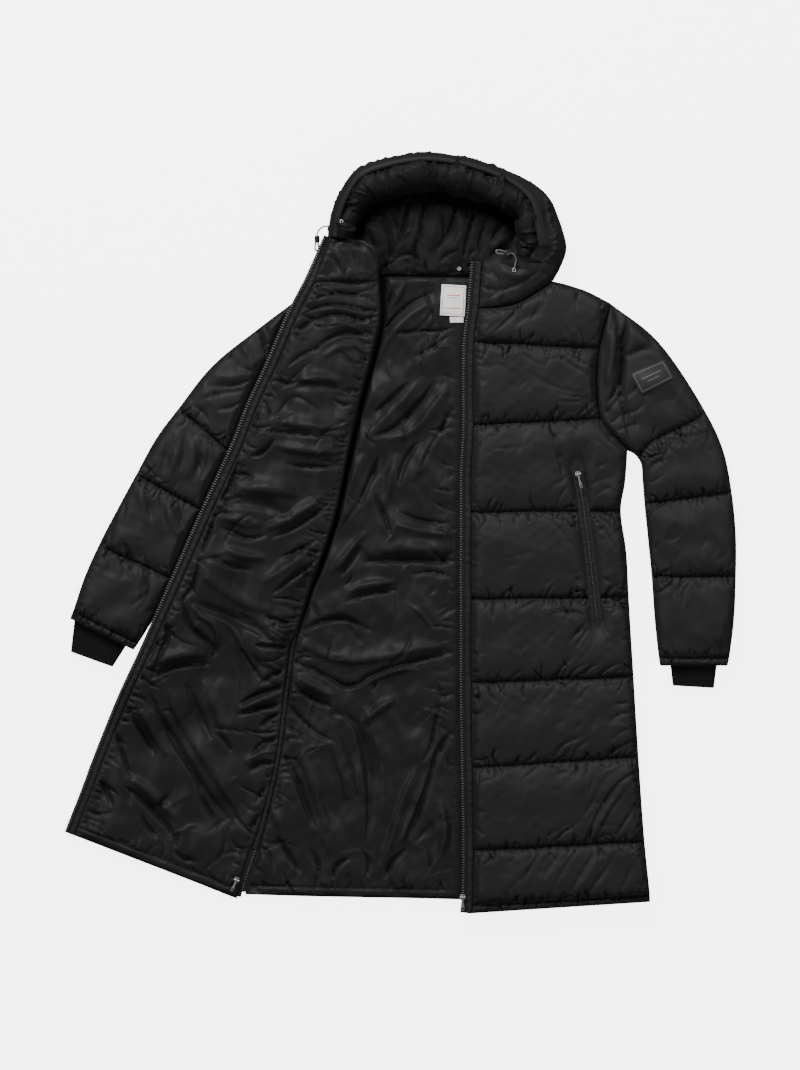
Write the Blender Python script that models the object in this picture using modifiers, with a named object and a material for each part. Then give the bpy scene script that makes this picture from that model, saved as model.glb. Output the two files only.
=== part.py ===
# A long hooded puffer coat, laid out on its back with one front turned open.
# X runs to the right, Y towards the hood and Z up from the surface it lies on.
# Tables and sizes are in millimetres; meshes are made in metres.
# Left and right in the names are the wearer's, so the closed front is front_left.

import math

import bmesh
import bpy
import numpy as np
from mathutils import Vector
from mathutils.bvhtree import BVHTree

mm = 0.001
gap = 0.3                     # between pieces that touch or are sewn together

# Heights of the layers
back_height = 14.0            # back panel where the closed front lies on it
belly_height = 7.0            # widest level of a padded edge on the surface
floor_inset = 5.0             # how far a padded edge tucks in at the surface
layer_inset = 3.0             # how far an upper layer tucks in at its seam
edge_rise = 4.0               # side wall of an upper layer
under_height = 12.0           # under panel of a sleeve
pressed_height = 26.0         # sleeve where the open front lies on it
lining_thickness = 13.0       # open front and visible back, padding included
seam_step = 5.0               # rows either side of a quilting seam
edge_round = 14.0             # how far in a padded lining rises from its edge

# Shared edges, (x, y) from top to bottom
armhole_left = [(346, 381), (328, 306), (323, 244), (332, 191), (375, 138)]
armhole_right = [(-179, 381), (-170, 306), (-167, 250), (-166, 200), (-166, 155)]
armhole_seams = (1, 3)        # rows of the table where a quilting seam starts


# ---- curves

def spline(points, corners, at):
    # Cubic through the points with the square root of their spacing as its
    # parameter; at a corner the tangents are those of each side's own chord.
    points = np.asarray(points, float)
    last = len(points) - 1
    step = np.linalg.norm(np.diff(points, axis=0), axis=1) ** 0.5
    chord = np.diff(points, axis=0) / step[:, None]
    before = np.vstack([chord[:1], chord])
    after = np.vstack([chord, chord[-1:]])
    span_before = np.append(step[:1], step)[:, None]
    span_after = np.append(step, step[-1:])[:, None]
    mean = (before * span_after + after * span_before) / (span_before + span_after)
    is_corner = np.zeros(len(points), bool)
    is_corner[[0, last, *corners]] = True
    leave = np.where(is_corner[:, None], after, mean)
    arrive = np.where(is_corner[:, None], before, mean)
    at = np.clip(np.asarray(at, float), 0, last)
    k = np.minimum(at.astype(int), last - 1)
    t = (at - k)[:, None]
    h = step[k][:, None]
    return ((2 * t**3 - 3 * t**2 + 1) * points[k] + (t**3 - 2 * t**2 + t) * h * leave[k]
            + (3 * t**2 - 2 * t**3) * points[k + 1] + (t**3 - t**2) * h * arrive[k + 1])


def lengths(line):
    return np.append(0, np.cumsum(np.linalg.norm(np.diff(line, axis=0), axis=1)))


def by_length(points, fractions, corners=()):
    # Points at these fractions of the curve's length.
    at = np.linspace(0, len(points) - 1, 40 * (len(points) - 1) + 1)
    line = spline(points, corners, at)
    run = lengths(line) / lengths(line)[-1]
    return np.stack([np.interp(fractions, run, line[:, k]) for k in range(line.shape[1])], 1)


def outward(line, distance, side=1):
    # The line moved sideways: to its left with side 1, to its right with side -1.
    tangent = np.gradient(line, axis=0)
    tangent /= np.linalg.norm(tangent, axis=1)[:, None]
    return line + side * distance * np.stack([-tangent[:, 1], tangent[:, 0]], 1)


def row_positions(steps, seams, size):
    # Fractional table rows: evenly spaced, with one more close to each seam.
    at = []
    for k, count in enumerate(steps):
        inner = list(np.arange(count) / count)
        near = min(seam_step / size[k], 0.4 / count)
        if k in seams:
            inner.insert(1, near)
        if k + 1 in seams:
            inner.append(1 - near)
        at += [k + t for t in inner]
    return np.array(at + [len(steps)])


def channel_bulge(run, seams):
    # 0 at each quilting seam and 1 halfway between two of them.
    seams = np.asarray(seams)
    k = np.clip(np.searchsorted(seams, run, side="right") - 1, 0, len(seams) - 2)
    t = np.clip((run - seams[k]) / (seams[k + 1] - seams[k]), 0, 1)
    return (1 - np.abs(2 * t - 1) ** 2.4) ** 0.5


def edge_bulge(distance, radius):
    # A quarter of an ellipse from an edge inwards.
    return np.sqrt(1 - (1 - np.clip(distance / radius, 0, 1)) ** 2)


def polygon_distance(x, y, outline):
    # 0 inside the outline, and the distance to it outside.
    points = np.asarray(outline, float)
    inside = np.zeros(x.shape, bool)
    nearest = np.full(x.shape, 1e9)
    for (ax, ay), (bx, by) in zip(points, np.roll(points, -1, axis=0)):
        t = np.clip(((x - ax) * (bx - ax) + (y - ay) * (by - ay))
                    / ((bx - ax) ** 2 + (by - ay) ** 2), 0, 1)
        nearest = np.minimum(nearest, np.hypot(x - ax - t * (bx - ax), y - ay - t * (by - ay)))
        if ay != by:
            crossing = (ay > y) != (by > y)
            inside ^= crossing & (x < ax + (y - ay) * (bx - ax) / (by - ay))
    return np.where(inside, 0, nearest)


def fold_height(x, y, folds):
    # Sum of soft ridges and troughs, each round about a straight stretch.
    total = np.zeros(x.shape)
    for ax, ay, bx, by, width, height in folds:
        t = np.clip(((x - ax) * (bx - ax) + (y - ay) * (by - ay))
                    / ((bx - ax) ** 2 + (by - ay) ** 2), 0, 1)
        away = np.hypot(x - ax - t * (bx - ax), y - ay - t * (by - ay))
        total += height * np.exp(-(away / width) ** 2)
    return total


# ---- objects

for old in list(bpy.data.objects):
    bpy.data.objects.remove(old, do_unlink=True)
coat = bpy.data.collections.new("long_puffer_coat")
bpy.context.scene.collection.children.link(coat)
materials = {}


def material(name, color, roughness, metallic=0.0):
    made = bpy.data.materials.new(name)
    made.use_nodes = True
    shader = made.node_tree.nodes["Principled BSDF"]
    shader.inputs["Base Color"].default_value = (*color, 1)
    shader.inputs["Roughness"].default_value = roughness
    shader.inputs["Metallic"].default_value = metallic
    materials[name] = made


material("shell", (0.020, 0.020, 0.021), 0.5)
material("lining", (0.033, 0.033, 0.036), 0.4)
material("rib", (0.018, 0.018, 0.019), 0.9)
material("metal", (0.55, 0.55, 0.56), 0.3, 1.0)
material("tape", (0.015, 0.015, 0.016), 0.8)
material("label", (0.9, 0.9, 0.9), 0.7)
material("plastic", (0.30, 0.30, 0.31), 0.35)


def add_mesh(name, points, faces, kind):
    # One closed body in metres, with its faces turned outwards.
    mesh = bpy.data.meshes.new(name)
    mesh.from_pydata((np.asarray(points) * mm).tolist(), [], faces)
    work = bmesh.new()
    work.from_mesh(mesh)
    bmesh.ops.triangulate(work, faces=work.faces)
    bmesh.ops.recalc_face_normals(work, faces=work.faces)
    work.to_mesh(mesh)
    work.free()
    mesh.materials.append(materials[kind])
    mesh.shade_smooth()
    mesh.set_sharp_from_angle(angle=math.radians(50))
    made = bpy.data.objects.new(name, mesh)
    coat.objects.link(made)
    return made


def inset_loop(loop, distance):
    # A closed loop moved inwards, whichever way round it runs.
    before = loop - np.roll(loop, 1, axis=0)
    after = np.roll(loop, -1, axis=0) - loop
    before /= np.linalg.norm(before, axis=1)[:, None]
    after /= np.linalg.norm(after, axis=1)[:, None]
    along = before + after
    along /= np.linalg.norm(along, axis=1)[:, None]
    x, y = loop.T
    turn = np.sign(np.sum(x * np.roll(y, -1) - y * np.roll(x, -1)))
    return loop + turn * distance * np.stack([-along[:, 1], along[:, 0]], 1)


def border(rows, columns):
    # Grid indices once round the edge.
    index = np.arange(rows * columns).reshape(rows, columns)
    return np.concatenate([index[0, :-1], index[:-1, -1], index[-1, :0:-1], index[:0:-1, 0]])


def slab(name, grid, top, bottom, kind, inset=layer_inset):
    # A padded panel. Its top is a grid, its side one ring, and its underside
    # one flat face, or a grid of half the rows and columns.
    rows, columns = top.shape
    ring = border(rows, columns)
    points = [np.dstack([grid, top]).reshape(-1, 3)]
    index = np.arange(rows * columns).reshape(rows, columns)
    faces = [(a, b, c, d) for a, b, c, d in zip(index[:-1, :-1].flat, index[:-1, 1:].flat,
                                                index[1:, 1:].flat, index[1:, :-1].flat)]
    loop = grid.reshape(-1, 2)[ring]
    flat = np.isscalar(bottom)
    under = np.full((rows, columns), bottom) if flat else bottom
    start = rows * columns
    lower = start + np.arange(len(ring))
    points.append(np.column_stack([inset_loop(loop, inset), under.reshape(-1)[ring]]))
    faces += strip(ring, lower)
    if flat:
        faces.append(tuple(lower))
    else:
        number = np.full(rows * columns, -1)
        number[ring] = lower
        inner = [i * columns + j for i in range(2, rows - 1, 2) for j in range(2, columns - 1, 2)]
        number[inner] = start + len(ring) + np.arange(len(inner))
        points.append(np.dstack([grid, under]).reshape(-1, 3)[inner])
        faces += half_grid(rows, columns, number)
    return add_mesh(name, np.vstack(points), faces, kind)


def strip(upper, lower):
    return list(zip(upper, np.roll(upper, -1), np.roll(lower, -1), lower))


def half_grid(rows, columns, number):
    # Faces of two rows and two columns, with every point of the grid's edge.
    faces = []
    for i in range(0, rows - 1, 2):
        for j in range(0, columns - 1, 2):
            around = [(i, j), (i, j + 1), (i, j + 2), (i + 1, j + 2), (i + 2, j + 2),
                      (i + 2, j + 1), (i + 2, j), (i + 1, j)]
            face = [number[a * columns + b] for a, b in around]
            faces.append(tuple(k for k in face if k >= 0))
    return faces


def patch(left, right, u, top=None, bottom=None, top_fade=None, bottom_fade=None):
    # Rows ruled between two edges, bent to meet a curved first or last row.
    grid = left[:, None] * (1 - u)[None, :, None] + right[:, None] * u[None, :, None]
    if top is not None:
        grid = grid + (top - grid[0])[None] * top_fade[:, None, None]
    if bottom is not None:
        grid = grid + (bottom - grid[-1])[None] * bottom_fade[:, None, None]
    return grid


def ease(values):
    t = np.clip(values, 0, 1)
    return t * t * (3 - 2 * t)


# ---- closed front and its side

# rows to the next, front edge x and y, side edge x and y; 1 where a seam is quilted
front_left_rows = [
    (3, 128, 372, 346, 381, 1),
    (3, 121, 318, 328, 306, 1),
    (3, 120, 249, 323, 244, 0),
    (3, 120, 181, 332, 191, 1),
    (2, 118, 138, 375, 138, 0),
    (2, 116, 89, 371, 85, 0),
    (2, 116, 36, 364, 39, 1),
    (2, 116, -35, 373, -30, 0),
    (4, 116, -108, 377, -104, 1),
    (4, 116, -245, 385, -236, 1),
    (4, 118, -385, 393, -367, 1),
    (3, 120, -522, 403, -507, 1),
    (1, 118, -613, 412, -598, 1),
    (0, 116, -627, 412, -608, 1),
]
underarm_row = 4
placket_width = 10.0
neck_left = [(128, 372), (164, 374), (197, 382), (230, 402), (252, 417), (271, 412),
             (304, 402), (346, 381)]
shoulder_point = 4            # point of neck_left where the neck meets the shoulder
front_left_columns = np.array([0, .02, .06, .14, .23, .33, .44, .57, .66, .75, .84, .92, .975, 1])
neck_column = 7               # column that ends at the shoulder point
front_left_base = back_height + gap
front_left_valley = 7.0       # rise from the panel's edge to a quilting seam
front_left_peak = 17.0        # and on to the middle of a channel
pocket_line = [(291, 105), (298, 69), (313, -43), (324, -142)]
pocket_rise = 12.0            # how high the cloth is pressed at the pocket
pocket_reach = 10.0           # half the width of the flat there
pocket_slope = 0.45


def table_edges(table):
    rows = np.array(table, float)
    return rows[:, 1:3], rows[:, 3:5]


def sample_table(table, corners, seams=None):
    # Both edges at every row, the length run along them and the seams' places.
    left, right = table_edges(table)
    seams = [k for k, row in enumerate(table) if row[5]] if seams is None else seams
    size = np.linalg.norm(np.diff((left + right) / 2, axis=0), axis=1)
    at = row_positions([row[0] for row in table[:-1]], seams, size)
    a = spline(left, corners, at)
    b = spline(right, corners, at)
    run = lengths((a + b) / 2)
    return a, b, run, [run[np.argmin(abs(at - k))] for k in seams], at


def across(grid):
    # Distance of each point from its row's start and end.
    step = np.linalg.norm(np.diff(grid, axis=1), axis=2)
    run = np.hstack([np.zeros((len(grid), 1)), np.cumsum(step, axis=1)])
    return run, run[:, -1:] - run


def down(grid):
    # Distance of each point from its column's start and end.
    first, last = across(grid.transpose(1, 0, 2))
    return first.T, last.T


def quilted(grid, run, seams, base, valley, peak, radius=26.0):
    # Height of a quilted panel: valleys at the seams, rounded at all four edges.
    left, right = across(grid)
    first, last = down(grid)
    sides = edge_bulge(left, radius) * edge_bulge(right, radius)
    ends = edge_bulge(first, 9.0) * edge_bulge(last, 9.0)
    bulge = channel_bulge(run, seams)[:, None]
    return base + edge_rise + sides * (ends * valley + bulge * peak)


a, b, run, seams, at = sample_table(front_left_rows, [underarm_row])
armhole_count = int(np.argmin(abs(at - underarm_row)))
armhole_left_line = b[:armhole_count + 1]
neck_fractions = front_left_columns / front_left_columns[neck_column]
neck_part = by_length(neck_left[:shoulder_point + 1], neck_fractions[:neck_column + 1])
rest = (front_left_columns[neck_column:] - front_left_columns[neck_column]) \
    / (1 - front_left_columns[neck_column])
shoulder_part = by_length(neck_left[shoulder_point:], rest)
neck_line = np.vstack([neck_part, shoulder_part[1:]])
front_grid = patch(a, b, front_left_columns, top=neck_line, top_fade=1 - np.clip(at, 0, 1))
front_top = quilted(front_grid, run, seams, front_left_base, front_left_valley, front_left_peak)

pocket_flat = front_left_base + edge_rise + pocket_rise
x, y = front_grid[..., 0], front_grid[..., 1]
pocket_x = np.interp(y, [p[1] for p in pocket_line[::-1]], [p[0] for p in pocket_line[::-1]])
beyond = np.maximum(0, np.maximum(y - pocket_line[0][1], pocket_line[-1][1] - y))
from_pocket = np.hypot(x - pocket_x, beyond)
front_top = np.minimum(front_top, pocket_flat + np.maximum(0, from_pocket - pocket_reach) * pocket_slope)
front_left = slab("front_left", front_grid, front_top, front_left_base, "shell")


def edge_strip(name, line, near, far, low, high, kind, side):
    # A flat strip along an edge, from one distance off it to another.
    inner = outward(line, near, side)
    outer = outward(line, far, side)
    grid = np.stack([inner, (inner + outer) / 2, outer], 1)
    top = np.stack([high - 1.0, high, high - 1.0], 1)
    under = low if np.isscalar(low) else np.stack([low, low, low], 1)
    if not np.isscalar(under):
        return ribbon(name, grid, top, under, kind)
    return slab(name, grid, top, under, kind, inset=0.0)


def ribbon(name, grid, top, under, kind):
    # A strip whose underside follows a line of its own heights.
    rows, columns = top.shape
    points = np.vstack([np.dstack([grid, level]).reshape(-1, 3) for level in (top, under)])
    index = np.arange(rows * columns).reshape(rows, columns)
    quads = list(zip(index[:-1, :-1].flat, index[:-1, 1:].flat,
                     index[1:, 1:].flat, index[1:, :-1].flat))
    count = rows * columns
    ring = border(rows, columns)
    faces = quads + [tuple(k + count for k in quad) for quad in quads] + strip(ring, ring + count)
    return add_mesh(name, points, faces, kind)


# Bound strip down the front edge, and the zip tape beside it
tape_width = 8.0
tape_lift = 2.0               # from what lies under a tape to the tape
collar_corner = (134, 449)    # top of the closed front's edge, on its collar
front_edge = np.vstack([[collar_corner, (131, 412)], a[::4], a[-1:]])
front_edge_high = front_left_base + edge_rise + 5.0
high = np.full(len(front_edge), front_edge_high)
edge_strip("placket_left", front_edge, 0.8, placket_width, front_left_base, high, "shell", -1)
edge_strip("zip_tape_left", front_edge, placket_width + gap, placket_width + tape_width,
           back_height + gap + tape_lift, high - 1.5, "tape", -1)

# ---- back

# rows to the next, left edge x and y, right edge x and y, 0 as the lining has no quilting
back_rows = [
    (3, *armhole_right[0], *armhole_left[0], 0),
    (3, *armhole_right[1], *armhole_left[1], 0),
    (3, *armhole_right[2], *armhole_left[2], 0),
    (3, *armhole_right[3], *armhole_left[3], 0),
    (4, *armhole_right[4], *armhole_left[4], 0),
    (6, -163, 36, 364, 39, 0),
    (6, -164, -108, 377, -104, 0),
    (6, -180, -245, 385, -236, 0),
    (6, -197, -372, 393, -367, 0),
    (4, -228, -507, 403, -507, 0),
    (3, -252, -575, 411, -584, 0),
    (0, -257, -596, 412, -608, 0),
]
back_top_line = [(-179, 381), (-100, 405), (-35, 424), (32, 425), (118, 424), (252, 417),
                 (296, 405), (346, 381)]
back_hem = [(-257, -596), (-166, -599), (90, -604), (263, -609), (412, -608)]
back_columns = np.array([0, .015, .05, .12, .17, .22, .27, .32, .37, .42, .47, .51, .55, .60, .66, .80,
                         .95, .985, 1])
back_folds = [
    # from x and y, to x and y, width, height
    (29, 245, -10, 190, 11, -6), (45, 250, 10, 185, 12, 5), (-10, 190, -64, 155, 11, -5),
    (98, 262, 49, 188, 10, -6), (49, 188, 0, 120, 12, -5), (70, 170, 30, 110, 14, 5),
    (-59, -27, 65, -27, 10, -7), (-55, -5, 75, -5, 15, 5), (-100, -76, -50, -27, 10, -6),
    (-166, -175, -116, -146, 10, -6), (-116, -146, -50, -159, 12, -6), (-150, -150, -60, -135, 14, 5),
    (-149, -200, -83, -258, 10, -6), (-47, -217, 90, -184, 12, -6), (-40, -195, 95, -160, 15, 5),
    (-100, -274, -67, -316, 12, 6), (-67, -316, -50, -522, 16, 6), (-80, -350, -75, -500, 13, -4),
    (98, -332, 40, -423, 11, -6), (40, -423, -9, -555, 12, -5), (75, -360, 25, -520, 15, 5),
    (-196, -365, -166, -414, 11, -4), (-207, -472, -158, -563, 11, -5), (-150, -470, -120, -560, 14, 4),
    (-80, 56, -62, 89, 9, -5), (-50, 14, -17, -10, 10, -5), (20, 60, 60, 20, 15, 4),
]

a, b, run, _, at = sample_table(back_rows, [underarm_row], seams=list(armhole_seams))
b[:armhole_count + 1] = armhole_left_line
back_side_line = a
top_line = by_length(back_top_line, back_columns)
hem_line = by_length(back_hem, back_columns)
back_grid = patch(a, b, back_columns, top=top_line, bottom=hem_line,
                  top_fade=np.clip(1 - at / 4, 0, 1), bottom_fade=np.clip((at - 9) / 2, 0, 1))
x, y = back_grid[..., 0], back_grid[..., 1]
left, right = across(back_grid)
first, last = down(back_grid)
showing = ease((98 - x) / 30)           # 1 where the back is not under the closed front
pad = lining_thickness + 4 + fold_height(x, y, back_folds)
top = back_height + showing * np.maximum(pad - back_height, -4)
covered_y = [-200, -90, 23, 217, 420]   # the open front covers the back up to these X
covered_x = [-240, -130, -90, -45, -15]
in_sight = ease((x - np.interp(y, covered_y, covered_x)) / 30)
top = np.minimum(top, back_height + in_sight * 14)
edges = edge_bulge(left, 16) * edge_bulge(right, 16) * edge_bulge(first, 12) * edge_bulge(last, 12)
top = belly_height + (top - belly_height) * edges
back = slab("back_panel", back_grid, top, 0.0, "lining", inset=floor_inset)

# ---- sleeves

# rows to the next, outer edge x and y, inner edge x and y, 1 where a seam is quilted
sleeve_left_rows = [
    (4, 346, 381, 375, 138, 1),
    (3, 423, 320, 387, 131, 0),
    (2, 504, 201, 397, 117, 1),
    (2, 533, 138, 400, 88, 0),
    (2, 547, 69, 403, 50, 1),
    (2, 554, -3, 409, -10, 0),
    (2, 554, -70, 415, -71, 1),
    (2, 551, -140, 420, -142, 0),
    (1, 543, -205, 427, -206, 1),
    (0, 540, -218, 429, -218, 1),
]
sleeve_right_rows = [
    (2, -179, 381, -166, 155, 1),
    (2, -232, 341, -190, 146, 1),
    (2, -311, 277, -222, 131, 0),
    (2, -366, 208, -252, 110, 1),
    (2, -402, 160, -283, 68, 0),
    (2, -436, 99, -308, 28, 1),
    (2, -469, 38, -339, -25, 0),
    (2, -498, -18, -370, -78, 1),
    (2, -522, -72, -402, -131, 0),
    (1, -541, -128, -433, -181, 1),
    (0, -546, -140, -441, -192, 1),
]
sleeve_valley = 8.0
sleeve_peak = 15.0
sleeve_left_folds = [(344, 286, 378, 312, 9, -11), (378, 312, 423, 316, 9, -11)]


def sleeve(side, table, armhole, heading, press, folds):
    # Upper and under panel; their first row follows the armhole point for point.
    edge = outward(armhole, gap + 0.1, heading)
    table = [list(row) for row in table]
    table[0][1:5] = [*edge[0], *edge[-1]]
    outer, inner, run, seams, at = sample_table(table, [])
    across_armhole = lengths(edge) / lengths(edge)[-1]
    grid = patch(outer, inner, across_armhole, top=edge, top_fade=np.clip(1 - at / 2, 0, 1) ** 1.5)
    base = under_height + gap
    top = quilted(grid, run, seams, base, sleeve_valley, sleeve_peak, radius=34.0)
    x, y = grid[..., 0], grid[..., 1]
    top = np.maximum(top + fold_height(x, y, folds), base + edge_rise)
    top = press(x, y, top)
    slab(f"sleeve_{side}_upper", grid, top, base, "shell")
    rows, columns = top.shape
    ring = border(rows, columns)
    loop = grid.reshape(-1, 2)[ring]
    rings = [(inset_loop(loop, layer_inset), under_height), (loop, belly_height),
             (inset_loop(loop, floor_inset), 0.0)]
    count = len(loop)
    points = np.vstack([np.column_stack([line, np.full(count, z)]) for line, z in rings])
    order = np.arange(count)
    faces = [tuple(order), tuple(order + 2 * count)]
    faces += strip(order, order + count) + strip(order + count, order + 2 * count)
    add_mesh(f"sleeve_{side}_under", points, faces, "shell")
    return grid, top


zip_edge = [(-151, 420), (-182, 359), (-214, 283), (-247, 212), (-271, 150), (-323, 36), (-374, -80),
            (-425, -195), (-464, -278), (-504, -377), (-522, -426), (-537, -464), (-549, -495)]


def right_press(x, y, top):
    # Flat where the open front lies on the sleeve, rising clear of its edge.
    line = np.array(zip_edge[::-1])
    clear = (np.interp(y, line[:, 1], line[:, 0]) - x) * 0.9
    return np.minimum(top, pressed_height + np.maximum(0, clear - 24) * 0.5)


sleeve("left", sleeve_left_rows, armhole_left_line, 1, lambda x, y, top: top, sleeve_left_folds)
sleeve_right_grid, _ = sleeve("right", sleeve_right_rows, back_side_line[:armhole_count + 1], -1,
                              right_press, [])

# Rib cuffs, corners as (x, y)
cuff_corners = {
    "left": [(446, -218.7), (523, -218.7), (518, -255), (450, -251)],
    "right": [(-540, -143.8), (-454, -186.4), (-476, -220), (-545, -195)],
}
cuff_height = 13.0
rib_count = 16


def cuff(side):
    near_a, near_b, far_b, far_a = [np.array(p, float) for p in cuff_corners[side]]
    across_rib = np.linspace(0, 1, 2 * rib_count + 1)
    down_rib = np.array([0, 0.12, 1])
    a = near_a + (far_a - near_a) * down_rib[:, None]
    b = near_b + (far_b - near_b) * down_rib[:, None]
    grid = patch(a, b, across_rib)
    ribs = np.where(np.arange(len(across_rib)) % 2, 0.7, 0.0)
    left, right = across(grid)
    round_edge = edge_bulge(left + 2, 12) * edge_bulge(right + 2, 12)
    top = belly_height - 3 + (cuff_height - belly_height + 3) * round_edge + ribs[None]
    top[0] -= 1.5
    slab(f"cuff_{side}", grid, top, 0.0, "rib", inset=0.8)


cuff("left")
cuff("right")

# ---- open front

# rows to the next, zip edge x and y, side edge x and y, 0 as the lining has no quilting
front_right_rows = [
    (2, -151, 420, -35, 420, 0),
    (4, -182, 359, -34, 356, 0),
    (4, -214, 283, -49, 290, 0),
    (4, -247, 212, -68, 217, 0),
    (6, -271, 150, -85, 141, 0),
    (6, -323, 36, -110, 23, 0),
    (3, -374, -80, -149, -90, 0),
    (3, -398, -134, -163, -134, 0),
    (4, -425, -195, -187, -190, 0),
    (6, -464, -278, -197, -284, 0),
    (4, -504, -377, -210, -380, 0),
    (2, -522, -426, -234, -478, 0),
    (2, -537, -464, -256, -548, 0),
    (0, -549, -495, -271, -603, 0),
]
front_right_hem = [(-549, -495), (-445, -535), (-342, -575), (-292, -595), (-271, -603)]
front_right_columns = np.array([0, .02, .07, .14, .21, .28, .35, .42, .49, .56, .63, .70, .77, .84, .90,
                                .955, 1])
front_right_folds = [
    # from x and y, to x and y, width, height
    (-229, 240, -100, 241, 10, -7), (-225, 262, -95, 262, 15, 4), (-240, 161, -116, 160, 10, -7),
    (-235, 200, -95, 195, 18, 5), (-295, 44, -169, 44, 10, -7), (-280, 100, -110, 95, 20, 5),
    (-323, 6, -215, 6, 10, -6), (-92, 56, -166, 19, 11, -6), (-166, 19, -240, -10, 12, -5),
    (-120, -10, -250, -45, 18, 5), (-149, -60, -232, -93, 11, -6), (-339, -109, -273, -129, 11, -6),
    (-273, -129, -215, -175, 11, -6), (-330, -80, -230, -115, 16, 5), (-427, -266, -397, -320, 11, -6),
    (-397, -320, -339, -410, 11, -7), (-339, -410, -278, -497, 11, -6), (-400, -280, -300, -430, 17, 5),
    (-489, -393, -413, -453, 11, -6), (-413, -453, -367, -522, 11, -6), (-460, -390, -350, -500, 17, 5),
    (-455, -288, -397, -365, 10, -5), (-347, -208, -331, -307, 11, -5), (-300, -220, -260, -380, 18, 4),
]

a, b, run, _, at = sample_table(front_right_rows, [8], seams=[])
inner_edge = outward(a, placket_width, 1)
front_right_bottom = by_length(front_right_hem, front_right_columns) \
    + (inner_edge[-1] - a[-1]) * (1 - front_right_columns)[:, None]
front_right_grid = patch(inner_edge, b, front_right_columns, bottom=front_right_bottom,
                         bottom_fade=np.clip((at - 11) / 2, 0, 1))
sleeve_outline = sleeve_right_grid.reshape(-1, 2)[border(*sleeve_right_grid.shape[:2])]
covered_back = [(-179, 381), (-170, 306), (-166, 155), (-163, 36), (-164, -108), (-170, -150),
                (-149, -90), (-110, 23), (-68, 217), (-34, 356), (-35, 424), (-100, 405)]


bridge_end = 105.0            # the open front is back on the surface this far off a layer
bridge_width = 60.0


def support(x, y):
    # Height of what lies under the open front, eased down to the surface.
    off_sleeve = polygon_distance(x, y, sleeve_outline)
    off_back = polygon_distance(x, y, covered_back)
    on_sleeve = pressed_height * ease((bridge_end - off_sleeve) / bridge_width)
    on_back = (back_height + 2) * ease((bridge_end - off_back) / bridge_width)
    under = np.maximum(on_sleeve, on_back)
    return np.where(under > 0.5, under + gap, 0.0)


x, y = front_right_grid[..., 0], front_right_grid[..., 1]
under = support(x, y)
left, right = across(front_right_grid)
first, last = down(front_right_grid)
top = under + lining_thickness + 2 + fold_height(x, y, front_right_folds)
top += 8 * np.exp(-((right - 26) / 22) ** 2) * ease((y + 150) / 60)
edges = edge_bulge(left, edge_round) * edge_bulge(right, 20) * edge_bulge(last, edge_round) \
    * edge_bulge(first + 3, 12)
edge_level = under + np.where(under > 0, edge_rise, belly_height)
top = edge_level + (top - edge_level) * edges
slab("front_right", front_right_grid, top, under, "lining", inset=layer_inset)

zip_top = (-120, 491)         # top of the open front's zip, where the hood starts
line = np.vstack([[zip_top, (-134, 459)], a[::2], a[-1:]])
line = line[np.append(True, np.linalg.norm(np.diff(line, axis=0), axis=1) > 1.0)]
level = support(line[:, 0], line[:, 1])
edge_strip("placket_right", line, 9.0, 0.5, level, level + 10.0, "shell", 1)
edge_strip("zip_tape_right", line, 0.2, -6.5, level + tape_lift + 0.5, level + 8.0, "tape", 1)

# ---- hood

# outline x and y, how far its rim leans in, height, depth of the padded facing
hood_stations = [
    (-120, 491, 2, 46, 16),
    (-115, 526, 2, 54, 22),
    (-101, 562, 2, 60, 30),
    (-75, 599, 2, 65, 36),
    (-26, 619, 2, 69, 40),
    (45, 629, 2, 72, 40),
    (123, 617, 2, 72, 40),
    (197, 590, 6, 72, 36),
    (240, 561, 17, 72, 32),
    (263, 516, 29, 71, 28),
    (274, 471, 34, 66, 26),
    (263, 437, 38, 60, 22),
]
hood_rows = 33
hood_wall = 12.0
hood_floor = 26.0             # how far the shell runs in under the hood's back


def swept(name, stations, section, kind):
    # A closed section carried along the outline, standing square to it.
    profile = [section(*row[2:]) for row in stations]
    line = stations[:, :2]
    tangent = np.gradient(line, axis=0)
    tangent /= np.linalg.norm(tangent, axis=1)[:, None]
    inward = np.stack([tangent[:, 1], -tangent[:, 0]], 1)
    count = len(profile[0])
    points = []
    for k, ring in enumerate(profile):
        for away, height in ring:
            points.append((*(line[k] + inward[k] * away), height))
    order = np.arange(count)
    faces = [tuple(order), tuple(order + (len(profile) - 1) * count)]
    for k in range(len(profile) - 1):
        faces += strip(order + k * count, order + (k + 1) * count)
    return add_mesh(name, points, faces, kind)


def shell_section(lean, height, roll):
    return [
        (hood_floor, 0), (7, 0), (0, 0.24 * height), (0.1 * lean + 1, 0.55 * height),
        (0.6 * lean + 4, 0.84 * height), (lean + 8, height - 1), (lean + 14, height),
        (lean + 16, height - 4), (lean + 16, height - 14), (lean + hood_wall, height - 17),
        (0.5 * lean + hood_wall + 1, 0.6 * height), (hood_wall, 0.32 * height),
        (hood_wall + 4, 11), (hood_floor, 9),
    ]


def facing_section(lean, height, roll):
    edge = lean + 16 + gap
    return [
        (edge, height - 14), (edge, height - 5), (edge + 0.2 * roll, height + 2),
        (edge + 0.5 * roll, height + 4), (edge + 0.85 * roll, height - 2),
        (edge + roll, height - 12), (edge + 0.8 * roll, height - 20), (edge + 0.35 * roll, height - 19),
    ]


stations = by_length(hood_stations, np.linspace(0, 1, hood_rows))
swept("hood_shell", stations, shell_section, "shell")
swept("hood_facing", stations, facing_section, "lining")

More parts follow.
